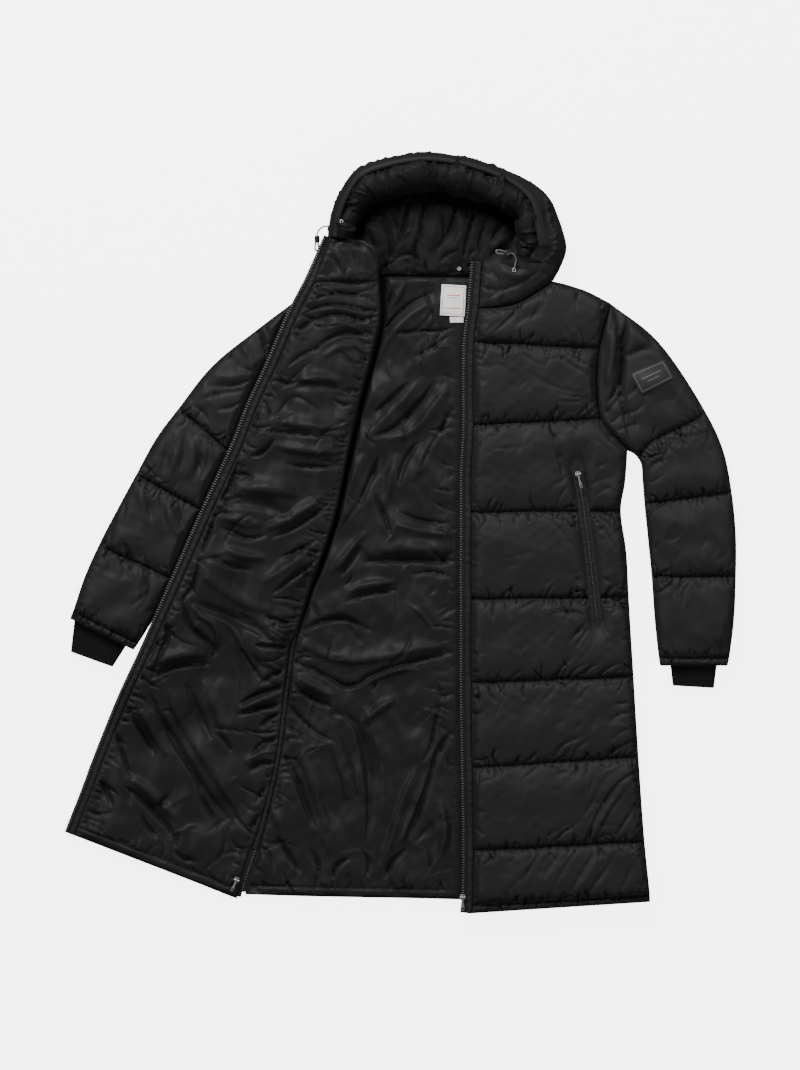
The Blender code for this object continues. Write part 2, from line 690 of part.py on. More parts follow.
hood_line = stations[:, :2]
hood_seam = outward(hood_line, hood_floor + 2 * gap, -1)
hood_columns = lengths(hood_seam)[1::2] / lengths(hood_seam)[-1]
hood_columns = np.concatenate([[0, .012, .035], hood_columns[1:-1], [.965, .988, 1]])
hood_top_line = by_length(hood_seam, hood_columns)
neck_base = by_length([(-90, 424.5), (-35, 425.7), (32, 426.6), (118, 425.6), (236, 420)], hood_columns)
hood_depth = np.array([0, .03, .09, .17, .26, .36, .46, .56, .66, .76, .86, .94, .98, 1])
hood_left = neck_base[0] + (hood_top_line[0] - neck_base[0]) * hood_depth[:, None]
hood_right = neck_base[-1] + (hood_top_line[-1] - neck_base[-1]) * hood_depth[:, None]
hood_grid = patch(hood_left, hood_right, hood_columns, top=neck_base, bottom=hood_top_line,
                  top_fade=1 - hood_depth, bottom_fade=hood_depth)
hood_folds = [
    # from x and y, to x and y, width, height
    (15, 520, 22, 448, 8, -7), (-8, 520, -5, 450, 14, 4), (38, 530, 34, 450, 13, 5),
    (54, 520, 48, 448, 7, -7), (72, 530, 66, 450, 12, 5), (92, 530, 84, 448, 7, -7),
    (112, 520, 105, 452, 12, 5), (128, 520, 124, 450, 7, -6), (150, 515, 142, 458, 11, 4),
    (-60, 520, 20, 535, 12, -5), (-70, 505, 0, 515, 12, 4),
]
x, y = hood_grid[..., 0], hood_grid[..., 1]
left, right = across(hood_grid)
first, last = down(hood_grid)
showing = ease((x + 20) / 40 + (y - 480) / 60) * ease((115 - x) / 30 + (y - 470) / 40)
pad = back_height + showing * (5 + fold_height(x, y, hood_folds))
edges = edge_bulge(left, 12) * edge_bulge(right, 12) * edge_bulge(last, 8) * edge_bulge(first, 9)
slab("hood_back", hood_grid, belly_height + (pad - belly_height) * edges, 0.0, "lining",
     inset=floor_inset)

# Collar of the open front, between its neck seam and the hood's near end
collar_right_base = back_height + 5 + gap
collar_right_thickness = 16.0
collar_right_columns = np.array([0, .05, .16, .30, .46, .62, .78, .90, .97, 1])
collar_right_seam = (-141, -36, 420)    # neck seam from X to X, and its Y
cap_start = hood_line[0]
cap_direction = outward(hood_line[:3], 1, -1)[0] - hood_line[0]
collar_rows = np.array([0, .1, .3, .5, .7, .9, 1])
shift = np.array([cap_direction[1], -cap_direction[0]]) * 2 * gap
collar_top_points = [cap_start + cap_direction * 10 + shift, cap_start + cap_direction * 56 + shift,
                     (-44, 474), (-33, 459)]
collar_top = by_length(collar_top_points, collar_right_columns, corners=[1])
seam_from, seam_to, seam_level = collar_right_seam
collar_low = np.column_stack([seam_from + (seam_to - seam_from) * collar_right_columns,
                              np.full(len(collar_right_columns), seam_level + 2 * gap)])
collar_left_edge = collar_top[0] + (collar_low[0] - collar_top[0]) * collar_rows[:, None]
collar_right_edge = collar_top[-1] + (collar_low[-1] - collar_top[-1]) * collar_rows[:, None]
collar_grid = patch(collar_left_edge, collar_right_edge, collar_right_columns, top=collar_top,
                    bottom=collar_low, top_fade=1 - collar_rows, bottom_fade=collar_rows)
x, y = collar_grid[..., 0], collar_grid[..., 1]
left, right = across(collar_grid)
first, last = down(collar_grid)
collar_right_folds = [
    # from x and y, to x and y, width, height
    (-100, 470, -85, 430, 8, -4), (-70, 470, -62, 430, 8, -4), (-84, 470, -74, 430, 9, 4),
]
pad = collar_right_thickness + fold_height(x, y, collar_right_folds)
edges = edge_bulge(left, 12) * edge_bulge(right, 18) * edge_bulge(last + 2, 10) \
    * edge_bulge(first + 3, 12)
slab("collar_right", collar_grid, collar_right_base + edge_rise + pad * edges, collar_right_base,
     "lining")

# Collar of the closed front, from its neck seam up to the hood's far end
count = neck_column + 1
collar_u = front_left_columns[:count] / front_left_columns[neck_column]
low = neck_line[:count] + np.array([0.0, 2 * gap])
cap_direction = outward(hood_line[-3:], 1, -1)[-1] - hood_line[-1]
shift = np.array([-cap_direction[1], cap_direction[0]]) * 2 * gap
cap_near = hood_line[-1] + shift
cap_far = hood_line[-1] + cap_direction * 82 + shift
high_line = by_length([collar_corner, (152, 456), (175, 467), cap_far, cap_near], collar_u,
                      corners=[3])
collar_rows = np.array([0, .1, .25, .42, .6, .78, .92, 1])
left_edge = high_line[0] + (low[0] - high_line[0]) * collar_rows[:, None]
right_edge = high_line[-1] + (low[-1] - high_line[-1]) * collar_rows[:, None]
collar_left_grid = patch(left_edge, right_edge, collar_u, top=high_line, bottom=low,
                         top_fade=1 - collar_rows, bottom_fade=collar_rows)
x, y = collar_left_grid[..., 0], collar_left_grid[..., 1]
left, right = across(collar_left_grid)
first, last = down(collar_left_grid)
collar_left_folds = [
    # from x and y, to x and y, width, height
    (160, 440, 200, 395, 9, -5), (200, 450, 235, 415, 9, -4), (180, 450, 215, 410, 9, 3),
]
collar_left_low = 12.0        # thickness at the zip, rising towards the hood's end
collar_left_rise = 22.0
joined = ease((x - 165) / 30)           # 1 where the collar meets the hood's end
edges = edge_bulge(left, edge_round) * edge_bulge(right + 3, edge_round) \
    * edge_bulge(last + 1.5, 16) * (joined + (1 - joined) * edge_bulge(first, edge_round))
pad = collar_left_low + fold_height(x, y, collar_left_folds) \
    + collar_left_rise * ease((x - 130) / 70) * (1 - collar_rows[:, None]) ** 0.7
slab("collar_left", collar_left_grid, front_left_base + edge_rise + pad * edges, front_left_base,
     "shell")

# ---- small pieces

def surfaces():
    # Every piece so far, to rest the next ones on.
    trees = []
    for made in coat.objects:
        if made.type != "MESH":
            continue
        work = bmesh.new()
        work.from_mesh(made.data)
        work.transform(made.matrix_basis)
        trees.append(BVHTree.FromBMesh(work))
        work.free()
    return trees


def rest_height(trees, x, y, reach):
    # Highest point of the pieces within this reach of a place, in millimetres.
    highest = 0.0
    for dx in np.linspace(-reach, reach, 9):
        for dy in np.linspace(-reach, reach, 9):
            if math.hypot(dx, dy) > reach * 1.01:
                continue
            start = Vector(((x + dx) * mm, (y + dy) * mm, 1.0))
            for tree in trees:
                hit = tree.ray_cast(start, Vector((0, 0, -1)))[0]
                if hit is not None:
                    highest = max(highest, hit.z / mm)
    return highest


def wall_from_left(trees, y, z):
    # Where a line from the left along X first meets a piece, in millimetres.
    start = Vector((-0.4, y * mm, z * mm))
    hits = [tree.ray_cast(start, Vector((1, 0, 0)))[0] for tree in trees]
    return min(hit.x for hit in hits if hit is not None) / mm


def draped(name, grid, thickness, reach, kind, trees):
    # A thin piece whose points lie just over what is under them.
    under = np.array([[rest_height(trees, x, y, reach) for x, y in row] for row in grid]) + gap
    return ribbon(name, grid, under + thickness, under, kind)


def quad(corners, rows, columns):
    # Grid over four corners, given round the outline.
    p = np.array(corners, float)
    a = p[0] + (p[3] - p[0]) * np.linspace(0, 1, rows)[:, None]
    b = p[1] + (p[2] - p[1]) * np.linspace(0, 1, rows)[:, None]
    return patch(a, b, np.linspace(0, 1, columns))


def rod(name, route, diameter, kind, sides=2):
    # A round cord or piping along a route of (x, y, z) points.
    data = bpy.data.curves.new(name, "CURVE")
    data.dimensions = "3D"
    data.bevel_depth = diameter / 2 * mm
    data.bevel_resolution = sides
    data.use_fill_caps = True
    path = data.splines.new("POLY")
    path.points.add(len(route) - 1)
    for point, place in zip(path.points, route):
        point.co = (*(np.array(place) * mm), 1)
    data.materials.append(materials[kind])
    made = bpy.data.objects.new(name, data)
    coat.objects.link(made)
    return made


def bar(name, centre, length, diameter, angle, kind):
    # A short round bar lying flat, its axis turned about Z.
    bpy.ops.mesh.primitive_cylinder_add(vertices=16, radius=diameter / 2 * mm, depth=length * mm)
    made = bpy.context.object
    made.name = made.data.name = name
    made.rotation_euler = (math.pi / 2, 0, math.radians(angle))
    made.location = np.array(centre) * mm
    bevel = made.modifiers.new("rounded", "BEVEL")
    bevel.width = 0.15 * diameter * mm
    bevel.segments = 1
    bevel.limit_method = "ANGLE"
    made.data.materials.append(materials[kind])
    for held in list(made.users_collection):
        held.objects.unlink(made)
    coat.objects.link(made)
    return made


trees = surfaces()

# Piping in the side seam between the open front and the back
piping_ends = (-194, -508)    # where it starts and ends along Y
piping_size = 10.8
seam_y = np.linspace(*piping_ends, 12)
front_side = front_right_grid[::-1, -1]
back_side = back_side_line[::-1]
front_x = np.interp(seam_y, front_side[:, 1], front_side[:, 0])
back_x = np.interp(seam_y, back_side[:, 1], back_side[:, 0])
route = [(px, py, belly_height + 1.5) for px, py in zip((front_x + back_x) / 2, seam_y)]
rod("side_piping_right", route, piping_size, "lining")

# Zip tapes of the side vent: each reaches almost to the middle of the opening
vent_start = -516
vent_low = 4.5
vent_high = 9.0
vent_slant = 0.95             # the opening measured square to its edges, over its width along X


def vent_tape(name, edge, other, end, side):
    y = np.linspace(vent_start, end, 6)
    near = np.interp(y, edge[:, 1], edge[:, 0])
    half = abs(np.interp(y, other[:, 1], other[:, 0]) - near) / 2 * vent_slant
    edge_strip(name, np.column_stack([near, y]), 0.7, half[:, None] - gap, vent_low,
               np.full(len(y), vent_high), "tape", side)


vent_tape("vent_tape_front", front_side, back_side, -600, 1)
vent_tape("vent_tape_back", back_side, front_side, -592, -1)

# Pocket in the closed front: welt, then its zip
pocket = by_length(pocket_line, np.linspace(0, 1, 15))
welt_grid = np.stack([outward(pocket, side, 1) for side in (-pocket_reach, -4, 4, pocket_reach)], 1)
draped("pocket_welt_left", welt_grid, 1.6, 9.0, "shell", trees)
trees = surfaces()
zip_grid = np.stack([outward(pocket[:-1], side, 1) for side in (-2.6, 2.6)], 1)
draped("pocket_zip_left", zip_grid, 1.6, 4.0, "tape", trees)

# Neck label, its size tag and the sleeve's patch
trees = surfaces()
neck_label_corners = [(68, 412), (108.5, 410), (106, 359), (65, 361)]
size_tag_corners = [(81, 358.4), (104, 358), (104, 349), (82, 349)]
sleeve_patch_corners = [(379, 264), (433, 287), (451, 257), (397, 229)]
draped("neck_label", quad(neck_label_corners, 4, 4), 0.8, 7.0, "label", trees)
draped("size_tag", quad(size_tag_corners, 2, 2), 0.8, 4.0, "label", trees)
draped("sleeve_patch", quad(sleeve_patch_corners, 4, 5), 1.2, 9.0, "tape", trees)

# Snap stud on the neck seam
trees = surfaces()
stud_place = (97, 438)
stud_size = 7.0
stud_thickness = 3.0
stud_level = rest_height(trees, *stud_place, 4) + gap + stud_thickness / 2
stud = bar("neck_stud", (*stud_place, stud_level), stud_thickness, stud_size, 0, "metal")
stud.rotation_euler = (0, 0, 0)

# Zip sliders: a channel with a bar's room for the pull tab's rounded end
slider_width = 9.2
slider_length = 10.0
slider_base = 1.8
channel_width = 6.0
lug_height = 4.0
tab_round = 1.4
tab_width = 5.2
tab_thin = 1.3


def extruded(name, outline, width, kind):
    # An (x, z) outline carried along Y, centred on it.
    count = len(outline)
    points = [(px, side * width / 2, pz) for side in (-1, 1) for px, pz in outline]
    order = np.arange(count)
    ends = [tuple(order), tuple(order + count)]
    return add_mesh(name, points, ends + strip(order, order + count), kind)


def zip_slider(name, place, low, angle, tab_length):
    # Slider on the chain and the pull tab hinged in it; the tab points along
    # the angle and its object has its origin on the hinge.
    half = slider_width / 2
    slot = channel_width / 2
    top = slider_base + lug_height
    outline = [(-half, 0), (half, 0), (half, top), (slot, top), (slot, slider_base),
               (-slot, slider_base), (-slot, top), (-half, top)]
    slider = extruded(f"{name}_slider", outline, slider_length, "metal")
    turn = math.radians(angle)
    slider.rotation_euler = (0, 0, turn - math.pi / 2)
    slider.location = Vector((*place, low)) * mm
    arc = [(-tab_round * math.sin(t), tab_round * math.cos(t)) for t in np.linspace(0, math.pi, 7)]
    outline = arc + [(tab_length * 0.3, -tab_thin / 2), (tab_length, -tab_thin / 2),
                     (tab_length, tab_thin / 2), (tab_length * 0.3, tab_thin / 2)]
    tab = extruded(f"{name}_pull", outline, tab_width, "metal")
    tab.rotation_euler = (0, 0, turn)
    hinge = low + slider_base + gap + 0.1 + tab_round
    tab.location = Vector((*place, hinge)) * mm
    print(name, "hinge", *place, round(hinge, 3), "angle", angle)


def slider_low(place, angle, tab_length):
    # Base height at which the slider, and its tab lying flat, clear the cloth.
    turn = math.radians(angle)
    seat = rest_height(trees, *place, 6.5)
    under_tab = [(place[0] + math.cos(turn) * d, place[1] + math.sin(turn) * d)
                 for d in np.arange(6, tab_length + 1, 3)]
    reach = [rest_height(trees, *spot, 3.5) for spot in under_tab]
    tab_drop = slider_base + gap + 0.1 + tab_round - tab_thin / 2
    return max(seat, max(reach) - tab_drop) + gap


slider_places = [
    # name, place, direction of the pull tab, its length
    ("front_zip", (102.5, -600), -88, 22.0),
    ("pocket_zip", (292.5, 98), -76, 24.0),
    ("vent_zip", (-271, -572), -114, 20.0),
]
trees = surfaces()
for name, place, angle, tab_length in slider_places:
    zip_slider(name, place, slider_low(place, angle, tab_length), angle, tab_length)

# Drawcord ends of the hood: eyelets, cord locks and the cord looped through them
trees = surfaces()
lock_length = 12.0
lock_size = 9.0
cord_size = 2.6
eyelet_size = 7.0
eyelet_thickness = 1.2


def eyelet(name, place):
    low = rest_height(trees, *place, 4.0) + gap
    disc = bar(name, (*place, low + eyelet_thickness / 2), eyelet_thickness, eyelet_size, 0, "metal")
    disc.rotation_euler = (0, 0, 0)
    return low + eyelet_thickness


def cord_lock(side, place, direction):
    # A barrel with its axis along the direction, and the loop beyond it.
    turn = math.radians(direction)
    along = np.array([math.cos(turn), math.sin(turn)])
    beside = np.array([-along[1], along[0]])
    level = rest_height(trees, *place, 8.0) + gap + lock_size / 2
    bar(f"cord_lock_{side}", (*place, level), lock_length, lock_size, direction - 90, "plastic")
    face = np.array(place) + along * (lock_length / 2 + gap)
    route = []
    for t in np.linspace(0, math.pi, 11):
        spot = face + along * 13 * math.sin(t) + beside * math.cos(t) * (1.7 + 3.2 * math.sin(t))
        route.append((*spot, level))
    rod(f"cord_loop_{side}", route, cord_size, "plastic")
    return np.array(place) - along * (lock_length / 2 + 2 * gap), level


top_of_eyelet = eyelet("eyelet_left", (187, 434))
eyelet("eyelet_right", (-97, 514))
start, level = cord_lock("left", (176, 462), 172)
middle = [(start[0] + 4, start[1] - 0.6), (190, 453), (189, 444)]
route = [(*start, level)]
for spot in middle:
    seat = rest_height(trees, *spot, 2.5) + cord_size / 2 + gap
    route.append((*spot, max(seat, level - 3)))
route.append((187, 436.5, top_of_eyelet + cord_size / 2 + gap))
rod("cord_run_left", by_length(route, np.linspace(0, 1, 12)), cord_size, "plastic")
start, level = cord_lock("right", (-138, 487), -92)
wall = wall_from_left(trees, 508, level + 9)
route = [(*start, level), (start[0], start[1] + 4, level), (-134, 503, level + 2), (-128, 507, level + 7),
         (-122, 508, level + 9), (wall - 2 * gap, 508, level + 9)]
rod("cord_run_right", by_length(route, np.linspace(0, 1, 10)), cord_size, "plastic")

# The frame's origin is under the middle of the coat's outline
middle = Vector((-0.234, 0.971, 0)) * mm
for made in coat.objects:
    made.location -= middle
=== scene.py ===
# Long hooded puffer coat, laid out on its back with one front turned open.
# Tables and sizes are in millimetres, as the coat is drafted; meshes are in metres.
# Left and right in the names are the wearer's.

import math

import bpy
import numpy as np
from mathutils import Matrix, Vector


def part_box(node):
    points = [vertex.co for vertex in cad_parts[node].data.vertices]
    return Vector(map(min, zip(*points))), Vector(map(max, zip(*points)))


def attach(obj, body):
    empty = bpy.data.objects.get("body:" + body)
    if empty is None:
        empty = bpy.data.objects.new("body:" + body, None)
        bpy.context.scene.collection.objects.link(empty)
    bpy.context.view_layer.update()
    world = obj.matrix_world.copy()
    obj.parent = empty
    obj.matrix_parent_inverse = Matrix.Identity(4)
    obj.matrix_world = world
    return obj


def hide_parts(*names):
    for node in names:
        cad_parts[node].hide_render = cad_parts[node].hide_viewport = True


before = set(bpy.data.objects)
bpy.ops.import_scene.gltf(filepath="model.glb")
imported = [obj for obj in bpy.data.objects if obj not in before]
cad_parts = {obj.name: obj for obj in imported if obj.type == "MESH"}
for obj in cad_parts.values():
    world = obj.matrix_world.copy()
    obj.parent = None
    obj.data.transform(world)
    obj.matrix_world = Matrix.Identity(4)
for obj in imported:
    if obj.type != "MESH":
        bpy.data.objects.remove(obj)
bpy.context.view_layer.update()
mm = 0.001
draftShift = np.array([-0.234, 0.971])   # draft coordinates of the frame's origin
gridStep = 2.3    # spacing of the cloth grids

print("camera, floor and light")

# Camera, floor and light

view = {
    "width": 1320.0, "height": 1765.5,   # what the picture takes in, at the coat's level
    "centre": (-0.6, -3.0), "level": 25.0,
    "lens": 200.0, "sensor": 36.0,
}
studio = {
    "floor": "#f1f1f1", "floorGlow": 5.4,
    "sky": 0.04,
    "floorHalf": 6.0, "farthest": 100.0,     # metres: the floor's half width, the camera's reach
    "lamps": [
        # place in metres, size in metres, watts
        ((-1.1, 2.7, 2.2), 1.3, 136.0),
        ((2.0, 2.0, 2.3), 1.3, 48.0),
        ((-2.8, -0.2, 2.2), 1.3, 36.0),
        ((2.8, -0.4, 2.2), 1.3, 22.0),
        ((0.2, -2.8, 2.3), 1.3, 22.0),
    ],
}


def linearColor(code):
    # sRGB hex to linear: the standard curve, a straight foot and a 2.4 power.
    parts = np.array([int(code[k:k + 2], 16) for k in (1, 3, 5)]) / 255
    low = parts / 12.92
    high = ((parts + 0.055) / 1.055) ** 2.4
    return (*np.where(parts <= 0.04045, low, high).tolist(), 1.0)


def addNode(tree, kind, settings=None, **inputs):
    # One node; a socket given as an input is linked, anything else is set.
    made = tree.nodes.new(kind)
    for key, value in (settings or {}).items():
        setattr(made, key, value)
    for key, value in inputs.items():
        spot = int(key[1:]) if key[0] == "i" and key[1:].isdigit() else key.replace("_", " ")
        if isinstance(value, bpy.types.NodeSocket):
            tree.links.new(value, made.inputs[spot])
        else:
            made.inputs[spot].default_value = value
    return made


def newMaterial(name):
    made = bpy.data.materials.new(name)
    made.use_nodes = True
    made.node_tree.nodes.clear()
    return made, made.node_tree


def finished(made, tree, **inputs):
    # The shader, with these inputs, and the output that a material ends in.
    shader = addNode(tree, "ShaderNodeBsdfPrincipled", **inputs)
    addNode(tree, "ShaderNodeOutputMaterial", Surface=shader.outputs["BSDF"])
    return made


def linkObject(made):
    bpy.context.scene.collection.objects.link(made)
    return made


def setUpStudio():
    distance = view["lens"] / view["sensor"] * view["height"] * mm
    data = bpy.data.cameras.new("camera")
    data.lens = view["lens"]
    data.sensor_width = view["sensor"]
    data.clip_end = studio["farthest"]
    camera = linkObject(bpy.data.objects.new("camera", data))
    camera.location = (view["centre"][0] * mm, view["centre"][1] * mm, distance + view["level"] * mm)
    bpy.context.scene.camera = camera
    world = bpy.data.worlds.new("studio")
    world.use_nodes = True
    bpy.context.scene.world = world
    background = world.node_tree.nodes["Background"]
    background.inputs["Color"].default_value = (1, 1, 1, 1)
    background.inputs["Strength"].default_value = studio["sky"]
    for place, size, watts in studio["lamps"]:
        lamp = bpy.data.lights.new("softbox", "AREA")
        lamp.energy = watts
        lamp.size = size
        stand = linkObject(bpy.data.objects.new("softbox", lamp))
        stand.location = place
        stand.rotation_euler = (-Vector(place)).to_track_quat("-Z", "Y").to_euler()
    half = studio["floorHalf"]
    mesh = bpy.data.meshes.new("floor")
    mesh.from_pydata([(-half, -half, 0), (half, -half, 0), (half, half, 0), (-half, half, 0)],
                     [], [(0, 1, 2, 3)])
    made, tree = newMaterial("seamlessPaper")     # matt white paper, lit from behind
    color = linearColor(studio["floor"])
    mesh.materials.append(finished(made, tree, Base_Color=color, Roughness=1.0, Emission_Color=color,
                                   Emission_Strength=studio["floorGlow"]))
    floor = linkObject(bpy.data.objects.new("floor", mesh))
    floor.visible_glossy = False      # its glow stays out of the cloth's highlights
    floor.visible_diffuse = False


setUpStudio()

# Materials


def grainNoise(tree, size, settings=None, **inputs):
    # Noise over a piece's own space, its grain this many millimetres.
    place = addNode(tree, "ShaderNodeTexCoord").outputs["Object"]
    return addNode(tree, "ShaderNodeTexNoise", settings, Vector=place, Scale=1 / (size * mm), **inputs)


def clothMaterial(name, hexColor, roughness, gloss, sheen, creases, weave, cloudy):
    # Dyed synthetic cloth: faint cloudiness, small set creases and a fine plain weave.
    made, tree = newMaterial(name)
    cloud = grainNoise(tree, 60.0, Detail=3.0)
    tone = addNode(tree, "ShaderNodeMapRange", Value=cloud.outputs["Fac"], From_Min=0.3, From_Max=0.7,
                   To_Min=1 - cloudy, To_Max=1 + cloudy)
    color = linearColor(hexColor)
    tint = addNode(tree, "ShaderNodeVectorMath", {"operation": "SCALE"}, i0=color[:3],
                   Scale=tone.outputs["Result"])
    ridges = grainNoise(tree, creases[0], {"noise_type": "RIDGED_MULTIFRACTAL"}, Detail=3.0,
                        Roughness=0.45, Distortion=0.6)
    threads = grainNoise(tree, weave[0], Detail=1.0)
    fine = addNode(tree, "ShaderNodeBump", Strength=0.35, Distance=weave[1] * mm,
                   Height=threads.outputs["Fac"])
    bump = addNode(tree, "ShaderNodeBump", Strength=0.5, Distance=creases[1] * mm,
                   Height=ridges.outputs["Fac"], Normal=fine.outputs["Normal"])
    return finished(made, tree, Base_Color=tint.outputs["Vector"], Roughness=roughness, Sheen_Weight=sheen,
                    Sheen_Roughness=0.4, Specular_IOR_Level=gloss, Normal=bump.outputs["Normal"])


def metalMaterial(name, hexColor, roughness, grain):
    # Plated metal, rubbed a little duller here and there.
    made, tree = newMaterial(name)
    wear = grainNoise(tree, grain, Detail=4.0)
    rough = addNode(tree, "ShaderNodeMapRange", Value=wear.outputs["Fac"], From_Min=0.3, From_Max=0.7,
                    To_Min=roughness - 0.08, To_Max=roughness + 0.12)
    bump = addNode(tree, "ShaderNodeBump", Strength=0.15, Distance=0.05 * mm, Height=wear.outputs["Fac"])
    return finished(made, tree, Base_Color=linearColor(hexColor), Metallic=1.0,
                    Roughness=rough.outputs["Result"], Normal=bump.outputs["Normal"])


clothRows = [
    # name, colour, roughness, gloss, sheen, crease size and depth, weave size and
    # depth in millimetres, cloudiness
    # Calendered polyester plain weave, dyed black: soft satin highlights on the padding
    ("calenderedPolyesterShell", "#1d1d1f", 0.6, 0.2, 0.03, (14.0, 0.7), (0.9, 0.05), 0.08),
    # Polyester taffeta lining: smoother and a little greyer, its creases catch the light
    ("taffetaLining", "#1b1b1d", 0.53, 0.155, 0.03, (16.0, 0.8), (0.7, 0.04), 0.08),
    # Copy of the lining's taffeta for inside the hood, darker and duller: painted shade that stands in for
    # the shadow in the hood's cavity, where the real hood has the same lining
    ("hoodPaintedShadeTaffeta", "#121213", 0.62, 0.14, 0.03, (15.0, 0.8), (0.7, 0.04), 0.1),
    # Woven polyester zip tape: ribbed and matt, so that the teeth stand out on it
    ("wovenZipTape", "#141415", 0.75, 0.2, 0.1, (9.0, 0.1), (1.2, 0.25), 0.1),
    # Rib knit in black yarn: fuzzy and matt
    ("ribKnitYarn", "#0d0d0e", 0.9, 0.15, 0.2, (6.0, 0.2), (1.0, 0.4), 0.15),
    # Spun polyester sewing thread: a touch lighter than the cloth
    ("spunPolyesterThread", "#2a2a2c", 0.6, 0.2, 0.2, (3.0, 0.05), (0.5, 0.1), 0.1),
]
polyesterShell, taffetaLining, hoodPaintedShadeTaffeta, zipTape, ribYarn, sewingThread = [
    clothMaterial(*row) for row in clothRows]
# Antique nickel plated zinc, cast and tumbled: a dull silver gleam.
antiqueNickel = metalMaterial("antiqueNickel", "#b4b4b6", 0.4, 2.0)
# Gunmetal plated brass teeth, stamped: small grey glints along both fronts and the vent.
gunmetalTeeth = metalMaterial("gunmetalTeeth", "#a4a4a6", 0.5, 1.5)
# Black nickel plated teeth of the pocket zip: a darker glint.
blackNickel = metalMaterial("blackNickelTeeth", "#8c8c90", 0.5, 1.5)


def markedMaterial(name, ground, ink, roughness, border, bars, weaveSize):
    # Flat cloth or rubber whose own UV map, in millimetres, carries a border line
    # and plain bars. border is (width, height, inset, line); bars are (x, y, w, h).
    made, tree = newMaterial(name)
    uv = addNode(tree, "ShaderNodeUVMap").outputs["UV"]
    split = addNode(tree, "ShaderNodeSeparateXYZ", Vector=uv)

    def calc(operation, a, b):
        return addNode(tree, "ShaderNodeMath", {"operation": operation}, i0=a, i1=b).outputs[0]

    def boxDistance(cx, cy, w, h):
        # Greatest of the two distances past a box's half sizes: below 0 inside it.
        dx = calc("SUBTRACT", calc("ABSOLUTE", calc("SUBTRACT", split.outputs["X"], cx), 0), w / 2)
        dy = calc("SUBTRACT", calc("ABSOLUTE", calc("SUBTRACT", split.outputs["Y"], cy), 0), h / 2)
        return calc("MAXIMUM", dx, dy)

    width, height, inset, line = border
    rim = boxDistance(width / 2, height / 2, width - 2 * inset, height - 2 * inset)
    mask = calc("LESS_THAN", calc("ABSOLUTE", rim, 0), line / 2)
    for cx, cy, w, h in bars:
        mask = calc("MAXIMUM", mask, calc("LESS_THAN", boxDistance(cx, cy, w, h), 0))
    weave = grainNoise(tree, weaveSize, Detail=2.0)
    mix = addNode(tree, "ShaderNodeMix", {"data_type": "RGBA"}, i0=mask, i6=linearColor(ground),
                  i7=linearColor(ink))
    raised = calc("ADD", weave.outputs["Fac"], mask)
    bump = addNode(tree, "ShaderNodeBump", Strength=0.4, Distance=0.2 * mm, Height=raised)
    return finished(made, tree, Base_Color=mix.outputs[2], Roughness=roughness, Normal=bump.outputs["Normal"])


# Damask woven label, white satin ground with red bars of weft.
labelSatin = markedMaterial("damaskWovenLabel", "#f2f0ee", "#b4474d", 0.55, (40, 50, 3, 0.9),
                            [(20, 33, 22, 1.4), (20, 29, 14, 1.0), (20, 12, 26, 1.2)], 0.8)
# Printed satin size tag, bare.
tagSatin = markedMaterial("printedSatinTag", "#efedeb", "#9a9a9a", 0.5, (24, 10, -4, 0.5), [], 0.8)
# Moulded rubber patch, black with a raised grey border and plain bars.
patchRubber = markedMaterial("mouldedRubberPatch", "#161617", "#5c5c5e", 0.6, (58, 33, 3.2, 0.8),
                             [(29, 19.5, 34, 1.2), (29, 13, 20, 1.0)], 2.0)


def cordMaterial():
    # Braided polyester cord with a silvery yarn: a herringbone of waves along its UV.
    made, tree = newMaterial("braidedDrawcord")
    uv = addNode(tree, "ShaderNodeUVMap").outputs["UV"]
    split = addNode(tree, "ShaderNodeSeparateXYZ", Vector=uv)
    slope = addNode(tree, "ShaderNodeMath", {"operation": "ADD"}, i0=split.outputs["X"],
                    i1=split.outputs["Y"])
    turns = addNode(tree, "ShaderNodeMath", {"operation": "MULTIPLY"}, i0=slope.outputs[0], i1=math.tau)
    wave = addNode(tree, "ShaderNodeMath", {"operation": "SINE"}, i0=turns.outputs[0])
    tone = addNode(tree, "ShaderNodeMapRange", Value=wave.outputs[0], From_Min=-1.0, From_Max=1.0)
    mix = addNode(tree, "ShaderNodeMix", {"data_type": "RGBA"}, i0=tone.outputs["Result"],
                  i6=linearColor("#151517"), i7=linearColor("#7a7a7e"))
    bump = addNode(tree, "ShaderNodeBump", Strength=0.5, Distance=0.2 * mm, Height=tone.outputs["Result"])
    return finished(made, tree, Base_Color=mix.outputs[2], Roughness=0.45, Normal=bump.outputs["Normal"])


braidedCord = cordMaterial()


def lockMaterial():
    # Acetal cord lock, injection moulded: dark grey with a soft gloss.
    made, tree = newMaterial("mouldedAcetal")
    grain = grainNoise(tree, 0.8, Detail=2.0)
    bump = addNode(tree, "ShaderNodeBump", Strength=0.2, Distance=0.05 * mm, Height=grain.outputs["Fac"])
    return finished(made, tree, Base_Color=linearColor("#29292c"), Roughness=0.2,
                    Normal=bump.outputs["Normal"])


acetal = lockMaterial()

# Curves and grids


